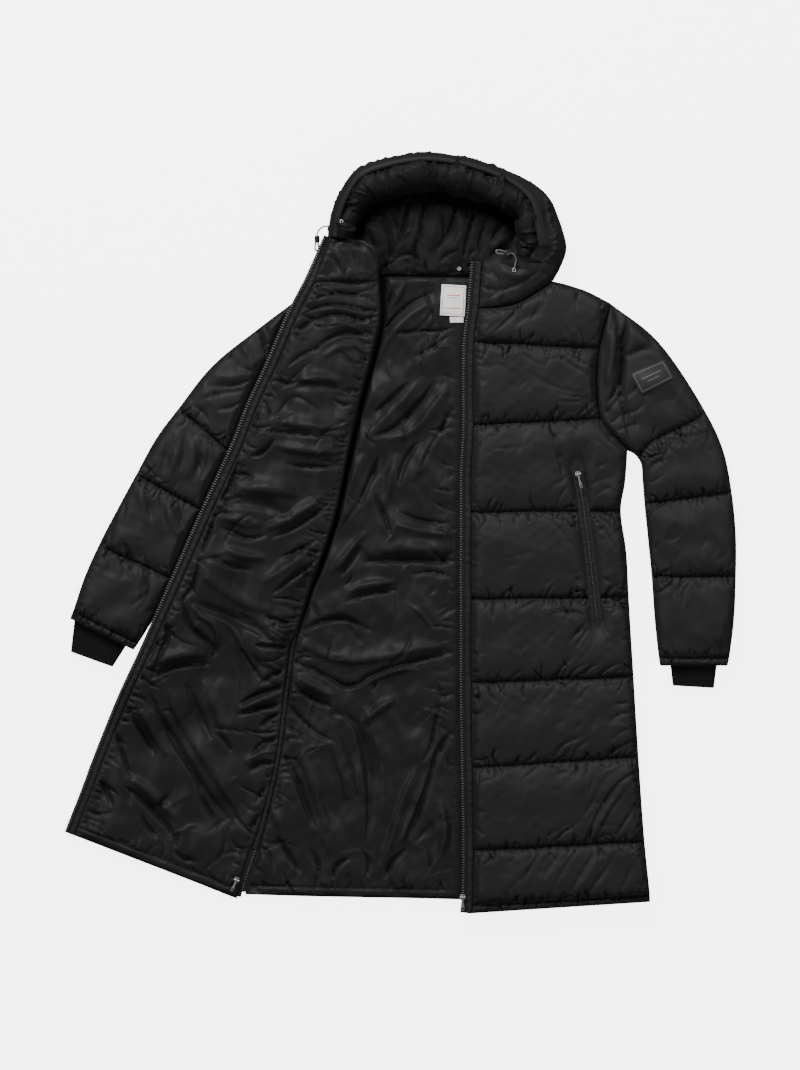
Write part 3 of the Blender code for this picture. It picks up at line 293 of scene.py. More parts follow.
def splineThrough(points, corners, at):
    # Cubic through the points with the square root of their spacing as its
    # parameter; at a corner the tangents are those of each side's own chord.
    points = np.asarray(points, float)
    last = len(points) - 1
    step = np.linalg.norm(np.diff(points, axis=0), axis=1) ** 0.5
    chord = np.diff(points, axis=0) / step[:, None]
    before = np.vstack([chord[:1], chord])
    after = np.vstack([chord, chord[-1:]])
    spanBefore = np.append(step[:1], step)[:, None]
    spanAfter = np.append(step, step[-1:])[:, None]
    mean = (before * spanAfter + after * spanBefore) / (spanBefore + spanAfter)
    isCorner = np.zeros(len(points), bool)
    isCorner[[0, last, *corners]] = True
    leave = np.where(isCorner[:, None], after, mean)
    arrive = np.where(isCorner[:, None], before, mean)
    at = np.clip(np.asarray(at, float), 0, last)
    k = np.minimum(at.astype(int), last - 1)
    t = (at - k)[:, None]
    h = step[k][:, None]
    return ((2 * t**3 - 3 * t**2 + 1) * points[k] + (t**3 - 2 * t**2 + t) * h * leave[k]
            + (3 * t**2 - 2 * t**3) * points[k + 1] + (t**3 - t**2) * h * arrive[k + 1])


def runLengths(line):
    return np.append(0, np.cumsum(np.linalg.norm(np.diff(line, axis=0), axis=1)))


def byLength(points, fractions, corners=()):
    # Points at these fractions of the curve's length.
    at = np.linspace(0, len(points) - 1, 40 * (len(points) - 1) + 1)
    line = splineThrough(points, corners, at)
    run = runLengths(line) / runLengths(line)[-1]
    return np.stack([np.interp(fractions, run, line[:, k]) for k in range(line.shape[1])], 1)


def evenLine(points, step):
    # Points this far apart along a smooth line.
    total = runLengths(byLength(points, np.linspace(0, 1, 200)))[-1]
    return byLength(points, np.linspace(0, 1, max(2, int(total / step) + 1)))


def unitOf(vectors, spare=0.0):
    # Vectors brought to length 1, the spare keeping an empty one from dividing by 0.
    return vectors / (np.linalg.norm(vectors, axis=-1)[..., None] + spare)


def sideways(line, distance, side=1):
    # The line moved to its left with side 1, to its right with side -1.
    tangent = unitOf(np.gradient(line, axis=0))
    return line + side * distance * np.stack([-tangent[:, 1], tangent[:, 0]], 1)


def easeStep(values):
    t = np.clip(values, 0, 1)
    return t * t * (3 - 2 * t)


def channelBulge(run, seams):
    # 0 at each quilting seam and 1 halfway between two of them, less in a
    # channel narrower than 50 mm, such as a hem.
    seams = np.asarray(seams)
    k = np.clip(np.searchsorted(seams, run, side="right") - 1, 0, len(seams) - 2)
    t = np.clip((run - seams[k]) / (seams[k + 1] - seams[k]), 0, 1)
    full = np.minimum(1, (seams[k + 1] - seams[k]) / 50) ** 0.8
    return full * (1 - np.abs(2 * t - 1) ** 3.4) ** 0.5


def edgeBulge(distance, radius):
    # A quarter of an ellipse from an edge inwards.
    return np.sqrt(1 - (1 - np.clip(distance / radius, 0, 1)) ** 2)


def awayFrom(x, y, ax, ay, bx, by):
    # Distance to a straight stretch.
    t = np.clip(((x - ax) * (bx - ax) + (y - ay) * (by - ay)) / ((bx - ax) ** 2 + (by - ay) ** 2), 0, 1)
    return np.hypot(x - ax - t * (bx - ax), y - ay - t * (by - ay))


def polygonDistance(x, y, outline):
    # 0 inside the outline, and the distance to it outside.
    points = np.asarray(outline, float)
    inside = np.zeros(x.shape, bool)
    nearest = np.full(x.shape, 1e9)
    for (ax, ay), (bx, by) in zip(points, np.roll(points, -1, axis=0)):
        nearest = np.minimum(nearest, awayFrom(x, y, ax, ay, bx, by))
        if ay != by:
            inside ^= ((ay > y) != (by > y)) & (x < ax + (y - ay) * (bx - ax) / (by - ay))
    return np.where(inside, 0, nearest)


def creaseTable(rows):
    # Each row: width, height, lean, whether it is full at its start, then the x
    # and y of each of its points.
    return [(*row[:4], [row[k:k + 2] for k in range(4, len(row), 2)]) for row in rows]


def creaseHeight(x, y, creases):
    # Creases laid over a surface. At a distance d beside its line and a share t
    # of the way down it, each stands
    #   height * exp(-(d / w) ** 1.5) * sin(pi t) ** 0.6, or a rounder power 2
    # for a wide one,
    # where w is its width, wider by lean on the line's left and narrower by as
    # much on its right. A rooted one is full from its start to its middle.
    flatX, flatY = x.ravel(), y.ravel()
    total = np.zeros(flatX.shape)
    for width, height, lean, rooted, points in creases:
        line = byLength(points, np.linspace(0, 1, 12))
        reach = 2.8 * width * (1 + abs(lean))
        low, high = line.min(0) - reach, line.max(0) + reach
        near = np.flatnonzero((flatX > low[0]) & (flatX < high[0]) & (flatY > low[1]) & (flatY < high[1]))
        if not len(near):
            continue
        start, span = line[:-1], np.diff(line, axis=0)
        offX = flatX[near, None] - start[:, 0]
        offY = flatY[near, None] - start[:, 1]
        share = np.clip((offX * span[:, 0] + offY * span[:, 1]) / (span ** 2).sum(1), 0, 1)
        apart = np.hypot(offX - share * span[:, 0], offY - share * span[:, 1])
        pick = np.arange(len(near)), apart.argmin(1)
        t = (pick[1] + share[pick]) / len(span)
        left = np.sign(span[pick[1], 0] * offY[pick] - span[pick[1], 1] * offX[pick])
        wide = width * (1 + lean * left) * (0.65 + 0.35 * np.sin(math.pi * t))
        fade = np.sin(math.pi * np.where(rooted & (t < 0.5), 0.5, t)) ** 0.6
        total[near] += height * np.exp(-(apart[pick] / wide) ** (2 if width > 4.5 else 1.5)) * fade
    return total.reshape(x.shape)


puckerClear = 1.0      # how far off the stitches a pucker starts


def puckersAlong(line, side, look, seed, turn=0.0):
    # Short creases that leave a line of sewing, unevenly spaced: from its left
    # with side 1, from its right with side -1. turn swings them all round.
    draw = np.random.default_rng(seed)
    run = runLengths(line)
    at = np.cumsum(draw.uniform(*look["apart"], int(run[-1] / look["apart"][0]) + 1))
    at = at[at < run[-1] - 2]
    tangent = unitOf(np.gradient(line, axis=0), 1e-9)
    creases = []
    for place in at:
        start = np.array([np.interp(place, run, line[:, k]) for k in (0, 1)])
        along = np.array([np.interp(place, run, tangent[:, k]) for k in (0, 1)])
        angle = math.radians(turn + draw.normal(0, look["spread"])) + side * math.pi / 2
        away = np.array([along[0] * math.cos(angle) - along[1] * math.sin(angle),
                         along[0] * math.sin(angle) + along[1] * math.cos(angle)])
        short, long = look["length"]
        length = short + (long - short) * draw.uniform() ** 2.4
        bend = np.array([-away[1], away[0]]) * draw.normal(0, 0.13) * length
        width = draw.uniform(*look["width"])
        height = -draw.uniform(*look["height"]) * (0.6 + 0.4 * min(1, length / 12))
        start = start + away * puckerClear
        creases.append((width, height, draw.uniform(-0.35, 0.35), 1,
                        [start, start + away * length * 0.5 + bend, start + away * length]))
    return creases


def puckerLook(apart, length, width, height, spread):
    # Ranges for the puckers along a line, and the spread of their direction in degrees.
    return {"apart": apart, "length": length, "width": width, "height": height, "spread": spread}


def scatteredCreases(count, box, direction, spread, look, seed):
    # Small creases thrown over a box, uneven in place, in direction about the
    # given one, in length, width, height and bend; most of them are troughs.
    draw = np.random.default_rng(seed)
    creases = []
    for _ in range(count):
        middle = np.array([draw.uniform(box[0], box[2]), draw.uniform(box[1], box[3])])
        angle = math.radians(direction + draw.normal(0, spread))
        half = draw.uniform(*look["length"]) / 2
        along = np.array([math.cos(angle), math.sin(angle)]) * half
        bend = np.array([-along[1], along[0]]) * draw.normal(0, 0.25)
        height = draw.uniform(*look["height"]) * draw.choice([-1, -1, 0.7])
        creases.append((draw.uniform(*look["width"]), height, draw.uniform(-0.4, 0.4), 0,
                        [middle - along, middle + bend, middle + along]))
    return creases


def undulation(x, y, size, high, seed):
    # Soft unevenness of the padding: a wide wave and a closer one.
    return high * (waviness(x, y, size, seed) + 0.2 * waviness(x, y, size * 0.38, seed + 1))


def across(grid):
    # Distance of each point from its row's start and end.
    step = np.linalg.norm(np.diff(grid, axis=1), axis=2)
    run = np.hstack([np.zeros((len(grid), 1)), np.cumsum(step, axis=1)])
    return run, run[:, -1:] - run


def down(grid):
    # Distance of each point from its column's start and end.
    first, last = across(grid.transpose(1, 0, 2))
    return first.T, last.T


def fromEdges(grid):
    # Distance of each point from the grid's nearest edge.
    return np.minimum(np.minimum(*across(grid)), np.minimum(*down(grid)))


def ruledGrid(left, right, u, top=None, bottom=None, topFade=None, bottomFade=None):
    # Rows ruled between two edges, bent to meet a curved first or last row.
    grid = left[:, None] * (1 - u)[None, :, None] + right[:, None] * u[None, :, None]
    if top is not None:
        grid = grid + (top - grid[0])[None] * topFade[:, None, None]
    if bottom is not None:
        grid = grid + (bottom - grid[-1])[None] * bottomFade[:, None, None]
    return grid


def stretchedGrid(first, last, u, rows):
    # A grid between two curved lines, its side edges straight.
    left = first[0] + (last[0] - first[0]) * rows[:, None]
    right = first[-1] + (last[-1] - first[-1]) * rows[:, None]
    return ruledGrid(left, right, u, top=first, bottom=last, topFade=1 - rows, bottomFade=rows)


def hemStitching(grid, fromEnd):
    # Where the hem's stitching crosses each column of a grid.
    count = np.arange(len(grid))
    places = [np.interp(-hemBand, -fromEnd[:, k], count) for k in range(grid.shape[1])]
    return np.array([[np.interp(at, count, grid[:, k, axis]) for axis in (0, 1)]
                     for k, at in enumerate(places)])


def hemGroove(fromEnd):
    # How deep the hem's stitching presses in: depth * exp(-(d / width) ** 1.4).
    return hemPress["depth"] * np.exp(-(np.abs(fromEnd - hemBand) / hemPress["width"]) ** 1.4)


def sampleTable(table, corners):
    # Both edges of a panel row by row, the length run down them, the places of
    # its seams and the table row that each grid row comes from. Rows lie closer
    # at the seams: with t from 0 to 1 between two, t - 0.5 sin(2 pi t) / (2 pi).
    rows = np.array(table, float)
    dense = np.linspace(0, len(rows) - 1, 60 * (len(rows) - 1) + 1)
    middle = (splineThrough(rows[:, :2], corners, dense) + splineThrough(rows[:, 2:4], corners, dense)) / 2
    run = runLengths(middle)
    seams = np.interp([k for k, row in enumerate(table) if row[4]], dense, run)
    stops = np.unique([0.0, *seams, run[-1]])
    places = [np.zeros(1)]
    for start, end in zip(stops[:-1], stops[1:]):
        t = np.linspace(0, 1, max(3, int((end - start) / gridStep) + 1))[1:]
        crowd = 0.5 if len(seams) else 0.0
        places.append(start + (end - start) * (t - crowd * np.sin(math.tau * t) / math.tau))
    evenly = np.concatenate(places)
    at = np.interp(evenly, run, dense)
    left, right = [splineThrough(rows[:, k:k + 2], corners, at) for k in (0, 2)]
    return left, right, evenly, seams, at


def waviness(x, y, size, seed):
    # Smooth random field between about -1 and 1: waves of nearby lengths in
    # seeded directions, added up. size is its usual wavelength.
    draw = np.random.default_rng(seed)
    total = np.zeros(np.broadcast(x, y).shape)
    count = 14
    for _ in range(count):
        angle = draw.uniform(0, math.pi)
        wave = size * draw.uniform(0.6, 1.7)
        along = x * math.cos(angle) + y * math.sin(angle)
        total += np.sin(along * math.tau / wave + draw.uniform(0, math.tau))
    return total * (2 / count) ** 0.5


def resampled(field, rows, columns):
    # A grid read at other counts of rows and columns, straight between points.
    a = np.linspace(0, field.shape[0] - 1, rows)
    b = np.linspace(0, field.shape[1] - 1, columns)
    i = np.minimum(a.astype(int), field.shape[0] - 2)
    j = np.minimum(b.astype(int), field.shape[1] - 2)
    s, t = (a - i)[:, None], (b - j)[None]
    first = (1 - t) * field[i][:, j] + t * field[i][:, j + 1]
    second = (1 - t) * field[i + 1][:, j] + t * field[i + 1][:, j + 1]
    return ((1 - s) * first + s * second).astype(np.float32)


# Meshes


def gridQuads(rows, columns, wrap=False, wrapRows=False):
    # Faces of a grid of points, closed round its rows or columns where asked.
    index = np.arange(rows * columns).reshape(rows, columns)
    if wrap:
        index = np.hstack([index, index[:, :1]])
    if wrapRows:
        index = np.vstack([index, index[:1]])
    return np.stack([index[:-1, :-1], index[1:, :-1], index[1:, 1:], index[:-1, 1:]], -1).reshape(-1, 4)


def turnedOut(points, quads, caps):
    # A closed shell; it is turned right side out if its volume comes out negative.
    points = np.asarray(points, float).reshape(-1, 3)
    middle = points - points.mean(0)
    a, b, c, d = middle[quads].transpose(1, 0, 2)
    volume = np.sum(a * np.cross(b, c)) + np.sum(a * np.cross(c, d))
    for cap in caps:
        ring = middle[np.asarray(cap)]
        volume += np.sum(ring[0] * np.cross(ring[1:-1], ring[2:]).sum(0))
    if volume < 0:
        return points, quads[:, ::-1], [np.asarray(cap)[::-1] for cap in caps]
    return points, quads, [np.asarray(cap) for cap in caps]


def addPiece(name, parts, material, uv=None, sharp=None):
    # One mesh object from closed shells of (points, quads, caps), in millimetres
    # of the draft.
    parts = [turnedOut(*part) for part in parts]
    points = np.vstack([part[0] for part in parts])
    points[:, :2] -= draftShift
    starts = np.append(0, np.cumsum([len(part[0]) for part in parts]))
    quads = np.vstack([part[1] + start for part, start in zip(parts, starts)])
    caps = [cap + start for part, start in zip(parts, starts) for cap in part[2]]
    mesh = bpy.data.meshes.new(name)
    mesh.vertices.add(len(points))
    mesh.vertices.foreach_set("co", (points * mm).ravel())
    order = np.concatenate([quads.ravel(), *caps]).astype(np.int32)
    sizes = np.concatenate([np.full(len(quads), 4), [len(cap) for cap in caps]]).astype(np.int32)
    mesh.loops.add(len(order))
    mesh.loops.foreach_set("vertex_index", order)
    mesh.polygons.add(len(sizes))
    mesh.polygons.foreach_set("loop_start", np.append(0, np.cumsum(sizes)[:-1]).astype(np.int32))
    mesh.update(calc_edges=True)
    if uv is not None:
        layer = mesh.uv_layers.new(name="map")
        layer.data.foreach_set("uv", np.asarray(uv, np.float32).reshape(-1, 2)[order].ravel())
    mesh.materials.append(material)
    mesh.shade_smooth()
    if sharp:
        mesh.set_sharp_from_angle(angle=math.radians(sharp))
    return linkObject(bpy.data.objects.new(name, mesh))


def dress(made, body, slot, *nodes):
    # The piece rides on its body and stands for its plain solids.
    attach(made, body)
    if nodes:
        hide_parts(*nodes)
    return made


def paddedPiece(name, surface, low, inset, material, underCount=14, sideSteps=4, uv=None):
    # A closed padded body: each row's section runs over the top surface, down a
    # round side, back along the underside and up the other side. The round is a
    # quarter of an ellipse, inset wide and as high as the edge stands.
    rows, columns = surface.shape[:2]
    low = np.broadcast_to(np.asarray(low, float), (rows, columns))
    turn = np.linspace(0, math.pi / 2, sideSteps + 1)[1:]

    def side(edge, inner, floor):
        inwards = unitOf((inner - edge)[:, :2], 1e-9)
        flat = edge[:, None, :2] + inwards[:, None] * (inset * (1 - np.cos(turn)))[None, :, None]
        high = edge[:, 2:3] - (edge[:, 2:3] - floor[:, None]) * np.sin(turn)[None]
        return np.concatenate([flat, high[..., None]], -1)

    k = min(6, columns - 1)
    right = side(surface[:, -1], surface[:, -1 - k], low[:, -1])
    left = side(surface[:, 0], surface[:, k], low[:, 0])[:, ::-1]
    pick = np.round(np.linspace(columns - 1, 0, underCount + 2)).astype(int)[1:-1]
    under = np.concatenate([surface[:, pick, :2], low[:, pick, None]], -1)
    ring = np.concatenate([surface, right, under, left], 1)
    count = ring.shape[1]
    quads = gridQuads(rows, count, wrap=True)
    caps = [np.arange(count), np.arange(count)[::-1] + (rows - 1) * count]
    if uv is not None:
        uv = np.concatenate([uv, np.repeat(uv[:, -1:], count - columns, 1)], 1)
    return addPiece(name, [(ring, quads, caps)], material, uv=uv, sharp=55)


def capped(made, name, *nodes):
    return dress(made, "coat", name, *nodes)


# Draft tables

# The corded side seam between the open front and the back
sideSeam = {"from": -134.0, "to": -520.0, "height": 12.0, "reach": 3.0, "overlap": 2.6, "base": 2.5}
armholeRight = [(-179, 381), (-170, 306), (-167, 250), (-166, 200), (-166, 155)]
armholeLeft = [(346, 381), (328, 306), (323, 244), (332, 191), (375, 138)]
underarmRow = 4
backHeight = 14.0             # the back, under what lies on it
bellyHeight = 7.0             # where a panel on the floor is widest
floorInset = 5.0              # how far its underside draws in
layerInset = 3.0              # the same for a panel that lies on another
edgeRise = 4.0                # height of such a panel at its own edge
underHeight = 12.0            # a sleeve's under panel
pressedHeight = 26.0          # the right sleeve under the open front
liningThickness = 13.0
gap = 0.3                     # between pieces that lie on each other
hemBand = 15.0                # from the hem up to its stitching
hemPress = {"depth": 3.5, "width": 2.2}
seamLap = 0.3                 # how far two sewn panels press into each other

frontLeftRows = [
    # front edge x and y, side edge x and y, 1 where a seam is quilted
    (128, 372, 346, 381, 1), (121, 318, 328, 306, 1), (120, 249, 323, 244, 0), (120, 181, 332, 191, 1),
    (118, 138, 375, 138, 0), (116, 89, 371, 85, 0), (116, 36, 364, 39, 1), (116, -35, 373, -30, 0),
    (116, -108, 377, -104, 1), (116, -245, 385, -236, 1), (118, -385, 393, -367, 1),
    (120, -522, 403, -507, 1), (118, -613, 412, -598, 1), (116, -627, 412, -608, 1),
]
neckLeft = [(128, 372), (164, 374), (197, 382), (230, 402), (252, 417), (271, 412), (304, 402), (346, 381)]
shoulderPoint = 4
shoulderShare = 0.57          # share of the width at which the neck meets the shoulder
frontLeftBase = backHeight + gap
pocketLine = [(291, 105), (298, 69), (313, -43), (324, -142)]
frontCreases = creaseTable([
    (2.8, -5.1, 0.3, 1, 198, 382, 186, 363, 167, 344, 152, 331),
    (2.3, -2.8, 0, 1, 196, 372, 181, 372, 169, 368),
    (2.5, -3.8, 0.3, 0, 231, 381, 222, 368, 214, 353),
    (2.5, -3.4, 0.3, 0, 238, 382, 227, 368, 217, 353),
    (3.6, -2.8, 0.4, 0, 186, 336, 197, 349, 217, 359, 240, 366),
    (2.6, -2.5, 0, 0, 131, 349, 143, 361, 159, 369),
    (2.6, -2.5, 0, 0, 263, 349, 276, 330, 285, 318),
    (2.5, -2.8, 0.4, 0, 205, 270, 238, 249, 265, 237, 308, 232),
    (2.5, -2.8, 0.4, 0, 250, 234, 283, 226, 316, 222),
    (2.3, -2.5, 0.4, 0, 255, 217, 283, 216, 313, 221),
    (2.5, -2.8, 0.3, 0, 250, 302, 280, 278, 314, 260),
    (2.3, -2.2, 0.3, 0, 271, 303, 293, 285, 316, 273),
    (2.6, -3.4, -0.3, 1, 318, 216, 298, 199, 288, 181),
    (2.3, -2.8, -0.3, 1, 319, 203, 306, 191, 298, 179),
    (2.6, -2.2, 0, 0, 197, 300, 222, 283, 243, 277),
    (2.8, -4.8, 0.3, 1, 291, 108, 296, 128, 313, 153),
    (2.5, -3.4, 0, 1, 285, 110, 280, 130, 283, 151),
    (5.4, -5.7, 0.3, 0, 252, 165, 258, 138, 266, 108, 268, 85),
    (6.3, 4.5, 0, 0, 266, 161, 273, 135, 276, 105),
    (2.5, -3.4, 0, 1, 303, 108, 316, 128, 329, 143),
    (2.3, -2.8, 0, 1, 309, 102, 329, 112, 349, 117),
    (2.6, -3.4, 0.3, 0, 336, 191, 352, 173, 370, 155),
    (2.3, -2.5, 0.3, 0, 329, 178, 342, 160, 361, 141),
    (5.4, 4.1, 0, 0, 328, 150, 319, 122, 316, 89),
    (2.3, -2.8, 0, 1, 283, 97, 263, 85, 248, 79),
    (2.3, -2.5, 0, 1, 285, 85, 266, 66, 257, 42),
    (2.3, -2.5, 0, 0, 313, 56, 329, 69, 349, 77),
    (2.3, -2.5, 0, 0, 316, 85, 332, 89, 356, 97),
    (2.3, -3.2, 0, 1, 319, 34, 332, 24, 349, 9),
    (2.5, -3.4, 0.3, 0, 329, 11, 342, -5, 356, -30),
    (2.5, -2.5, 0, 0, 235, 29, 257, 13, 273, -10),
    (2.3, -2.2, 0, 0, 243, 36, 266, 26, 286, 6),
    (3.3, -5.4, 0.3, 1, 313, -142, 296, -157, 276, -179),
    (2.6, -4.1, 0.3, 1, 318, -146, 303, -165, 285, -189),
    (2.6, -4.1, 0, 1, 329, -146, 339, -157, 344, -170),
    (2.5, -3.4, 0, 1, 308, -136, 283, -129, 250, -131),
    (2.3, -2.8, 0, 0, 250, -121, 276, -131, 299, -141),
    (2.5, -3.4, 0, 0, 323, -151, 319, -175, 309, -195),
    (2.5, -3.4, 0, 0, 375, -121, 359, -124, 342, -136),
    (2.3, -2.8, 0, 0, 374, -103, 359, -109, 347, -121),
    (2.6, -3.4, 0.3, 0, 336, -109, 346, -93, 365, -81),
    (3.3, -4.5, 0.4, 1, 257, -236, 268, -220, 285, -203),
    (2.6, -3.8, 0.4, 1, 299, -235, 313, -222, 329, -215),
    (2.6, -3.8, 0.4, 1, 329, -233, 344, -222, 365, -212),
    (2.5, -3.2, 0.4, 1, 276, -236, 291, -223, 313, -212),
    (2.8, -3.8, 0.3, 0, 380, -278, 365, -279, 347, -283),
    (2.8, -4.1, 0.3, 0, 385, -294, 362, -297, 339, -312),
    (2.6, -3.4, 0.3, 0, 385, -317, 365, -325, 346, -342),
    (3.0, -4.5, 0.3, 0, 252, -370, 268, -349, 286, -340, 304, -334),
    (2.6, -3.4, 0.3, 0, 286, -360, 303, -345, 316, -337),
    (3.0, -4.1, 0.3, 0, 389, -337, 365, -350, 339, -363),
    (3.6, -5.4, 0.4, 1, 392, -387, 357, -413, 328, -456, 303, -509),
    (3.3, -4.8, 0.4, 0, 382, -411, 352, -446, 332, -481, 316, -510),
    (3.3, -4.5, 0.4, 0, 397, -431, 372, -469, 347, -509),
    (2.8, -3.4, 0.4, 0, 299, -471, 275, -487, 250, -509),
    (2.6, -3.2, 0.4, 0, 329, -423, 313, -446, 299, -471),
    (2.6, -3.2, 0.4, 0, 276, -476, 257, -490, 238, -499),
    (3.0, -3.4, 0.3, 0, 232, -522, 215, -548, 200, -575),
    (3.0, -3.8, 0.3, 0, 319, -527, 298, -558, 278, -593),
    (3.3, -4.1, 0.3, 0, 352, -532, 329, -565, 304, -599),
    (3.0, -3.8, 0.3, 0, 382, -545, 372, -568, 361, -588),
    (2.6, -2.8, 0.3, 0, 212, -552, 192, -573, 171, -593),
    (2.6, -3.2, 0.3, 0, 263, -525, 247, -548, 232, -571),
    (2.6, -2.8, 0.3, 0, 288, -522, 266, -556, 247, -593),
    (8.0, 4.2, 0, 0, 329, -530, 309, -565, 286, -598),
    (8.9, 4.5, 0, 0, 365, -423, 336, -464, 316, -505),
])

backRows = [
    # left edge x and y, right edge x and y, no quilting
    (*armholeRight[0], *armholeLeft[0], 0), (*armholeRight[1], *armholeLeft[1], 0),
    (*armholeRight[2], *armholeLeft[2], 0), (*armholeRight[3], *armholeLeft[3], 0),
    (*armholeRight[4], *armholeLeft[4], 0), (-163, 36, 364, 39, 0), (-164, -108, 377, -104, 0),
    (-180, -245, 385, -236, 0), (-197, -372, 393, -367, 0), (-228, -507, 403, -507, 0),
    (-252, -575, 411, -584, 0), (-257, -596, 412, -608, 0),
]
backTopLine = [(-179, 381), (-100, 405), (-35, 424), (32, 425), (118, 424), (252, 417), (296, 405),
               (346, 381)]
backHem = [(-257, -596), (-166, -599), (90, -604), (263, -609), (412, -608)]
backCreases = creaseTable([
    (2.3, -5.4, 0, 1, -4, 331, 32, 335, 68, 336, 108, 349),
    (10.7, 8.0, 0.3, 0, 40, 259, -1, 214, -42, 176, -73, 155),
    (8.7, 8.0, 0.3, 0, 82, 250, 50, 204, 17, 168, -22, 155),
    (4.8, -10.0, 0.3, 0, 59, 252, 22, 207, -14, 174, -47, 160),
    (4.8, -8.7, 0.3, 0, 12, 249, -17, 222, -44, 199),
    (9.7, 8.0, 0.3, 0, -60, 132, -80, 95, -101, 54),
    (8.7, 8.0, 0, 0, -4, 132, -17, 95, -22, 62, -32, 39),
    (4.8, -9.3, 0.2, 0, -34, 130, -49, 92, -67, 56),
    (4.4, -8.7, 0, 0, -42, 67, -27, 31, -14, -5),
    (4.8, -8.7, 0, 0, 29, 153, 7, 118, -4, 79),
    (4.4, -7.8, 0, 0, 77, 188, 52, 148, 32, 105),
    (8.7, 8.0, 0, 0, 65, 171, 40, 130, 19, 85),
    (3.9, -7.3, 0, 0, 97, 221, 78, 191, 65, 168),
    (11.7, 8.0, 0.2, 0, -60, -33, -9, -24, 49, -25, 97, -25),
    (5.8, -11.4, 0.2, 0, -64, -48, -9, -43, 49, -45, 98, -47),
    (5.8, 8.0, 0, 0, -115, -66, -93, -40, -78, -20, -57, 3),
    (3.9, -7.8, 0, 0, -100, -71, -80, -43, -64, -20),
    (3.9, -7.3, 0, 0, -4, 36, 32, 23, 85, 16),
    (7.7, 7.8, 0, 0, -9, 16, 32, 5, 90, -2),
    (3.9, -6.5, 0, 0, 16, -68, 49, -63, 90, -73),
    (6.8, 7.8, 0, 0, -92, -99, -59, -85, -9, -80),
    (3.9, -7.8, 0, 0, -92, -113, -54, -99, -4, -93),
    (3.4, -6.5, 0, 0, -149, -109, -136, -129, -130, -146),
    (4.8, -11.4, 0.3, 0, -169, -165, -130, -146, -92, -141, -49, -162),
    (9.7, 8.0, 0.3, 0, -172, -177, -128, -200, -82, -210, -35, -205, 29, -190, 93, -184),
    (4.8, -11.5, 0.3, 0, -159, -215, -113, -241, -82, -255, -45, -233, 19, -212, 93, -195),
    (8.7, 8.0, 0.2, 0, -82, -259, -45, -238, 6, -223, 34, -230),
    (4.4, -11.4, 0.3, 0, -177, -253, -151, -269, -113, -288),
    (7.7, 8.0, 0, 0, -172, -236, -143, -253, -110, -269),
    (7.7, -11.4, 0.3, 0, -113, -296, -82, -306, -64, -342, -54, -396, -52, -466, -55, -509),
    (11.7, 8.0, 0.2, 0, -59, -284, -37, -344, -26, -406, -27, -482),
    (7.7, 8.0, 0, 0, -7, -269, -45, -296, -64, -314),
    (4.8, -9.3, 0.2, 0, -192, -365, -172, -406, -159, -443, -141, -489),
    (8.7, 8.0, 0, 0, -169, -357, -149, -403, -134, -446, -120, -492),
    (6.3, -11.5, 0.4, 0, 97, -314, 65, -352, 47, -406, 29, -457, 6, -512),
    (3.4, -7.3, 0, 0, 65, -278, 55, -324, 47, -360, 34, -378),
    (8.7, 8.0, 0.3, 0, 65, -360, 45, -406, 19, -466, -4, -517),
    (7.7, 8.0, 0.3, 0, 29, -382, 7, -431, -12, -489, -32, -552),
    (3.9, -8.7, 0, 0, -113, -571, -105, -548, -82, -535),
    (3.9, -8.7, 0, 0, -27, -571, -12, -540, 11, -520),
    (3.9, -8.7, 0, 0, -205, -499, -182, -535, -164, -561),
    (3.9, -7.8, 0, 0, -242, -507, -214, -535, -210, -561),
    (3.9, -7.3, 0, 0, 60, -246, 70, -269, 93, -259),
    (6.8, 7.8, 0, 0, 65, -439, 75, -489, 62, -542),
    (3.9, -7.3, 0, 0, 82, -423, 90, -472, 82, -522),
    (6.8, 7.3, 0, 0, -116, -340, -97, -390, -87, -439),
    (3.4, -6.0, 0, 0, -103, -332, -83, -382, -73, -439),
    (3.4, -6.0, 0, 0, -166, -307, -133, -332, -108, -344),
    (3.4, -6.0, 0, 0, 40, -514, 49, -542, 40, -568),
    (3.4, -6.5, 0, 0, -149, -522, -136, -548, -139, -571),
    (3.4, -6.0, 0, 0, -64, -519, -54, -545, -57, -571),
    (4.0, -8.5, 0.3, 0, 57, 401, 13, 379, -21, 345, -46, 306),
    (7.0, 6.0, 0, 0, 62, 385, 24, 366, -8, 338, -32, 300),
    (3.0, -8.0, 0, 0, -11, 408, -21, 379, -29, 357),
    (5.0, 5.0, 0, 0, 10, 420, -3, 392, -20, 368),
    (2.8, -5.0, 0, 0, -7, 333, 27, 338, 57, 372),
    (2.6, -5.0, 0.3, 0, 32, 408, 49, 377, 57, 343),
    (2.6, -4.6, 0, 0, 74, 340, 60, 322, 54, 300),
])

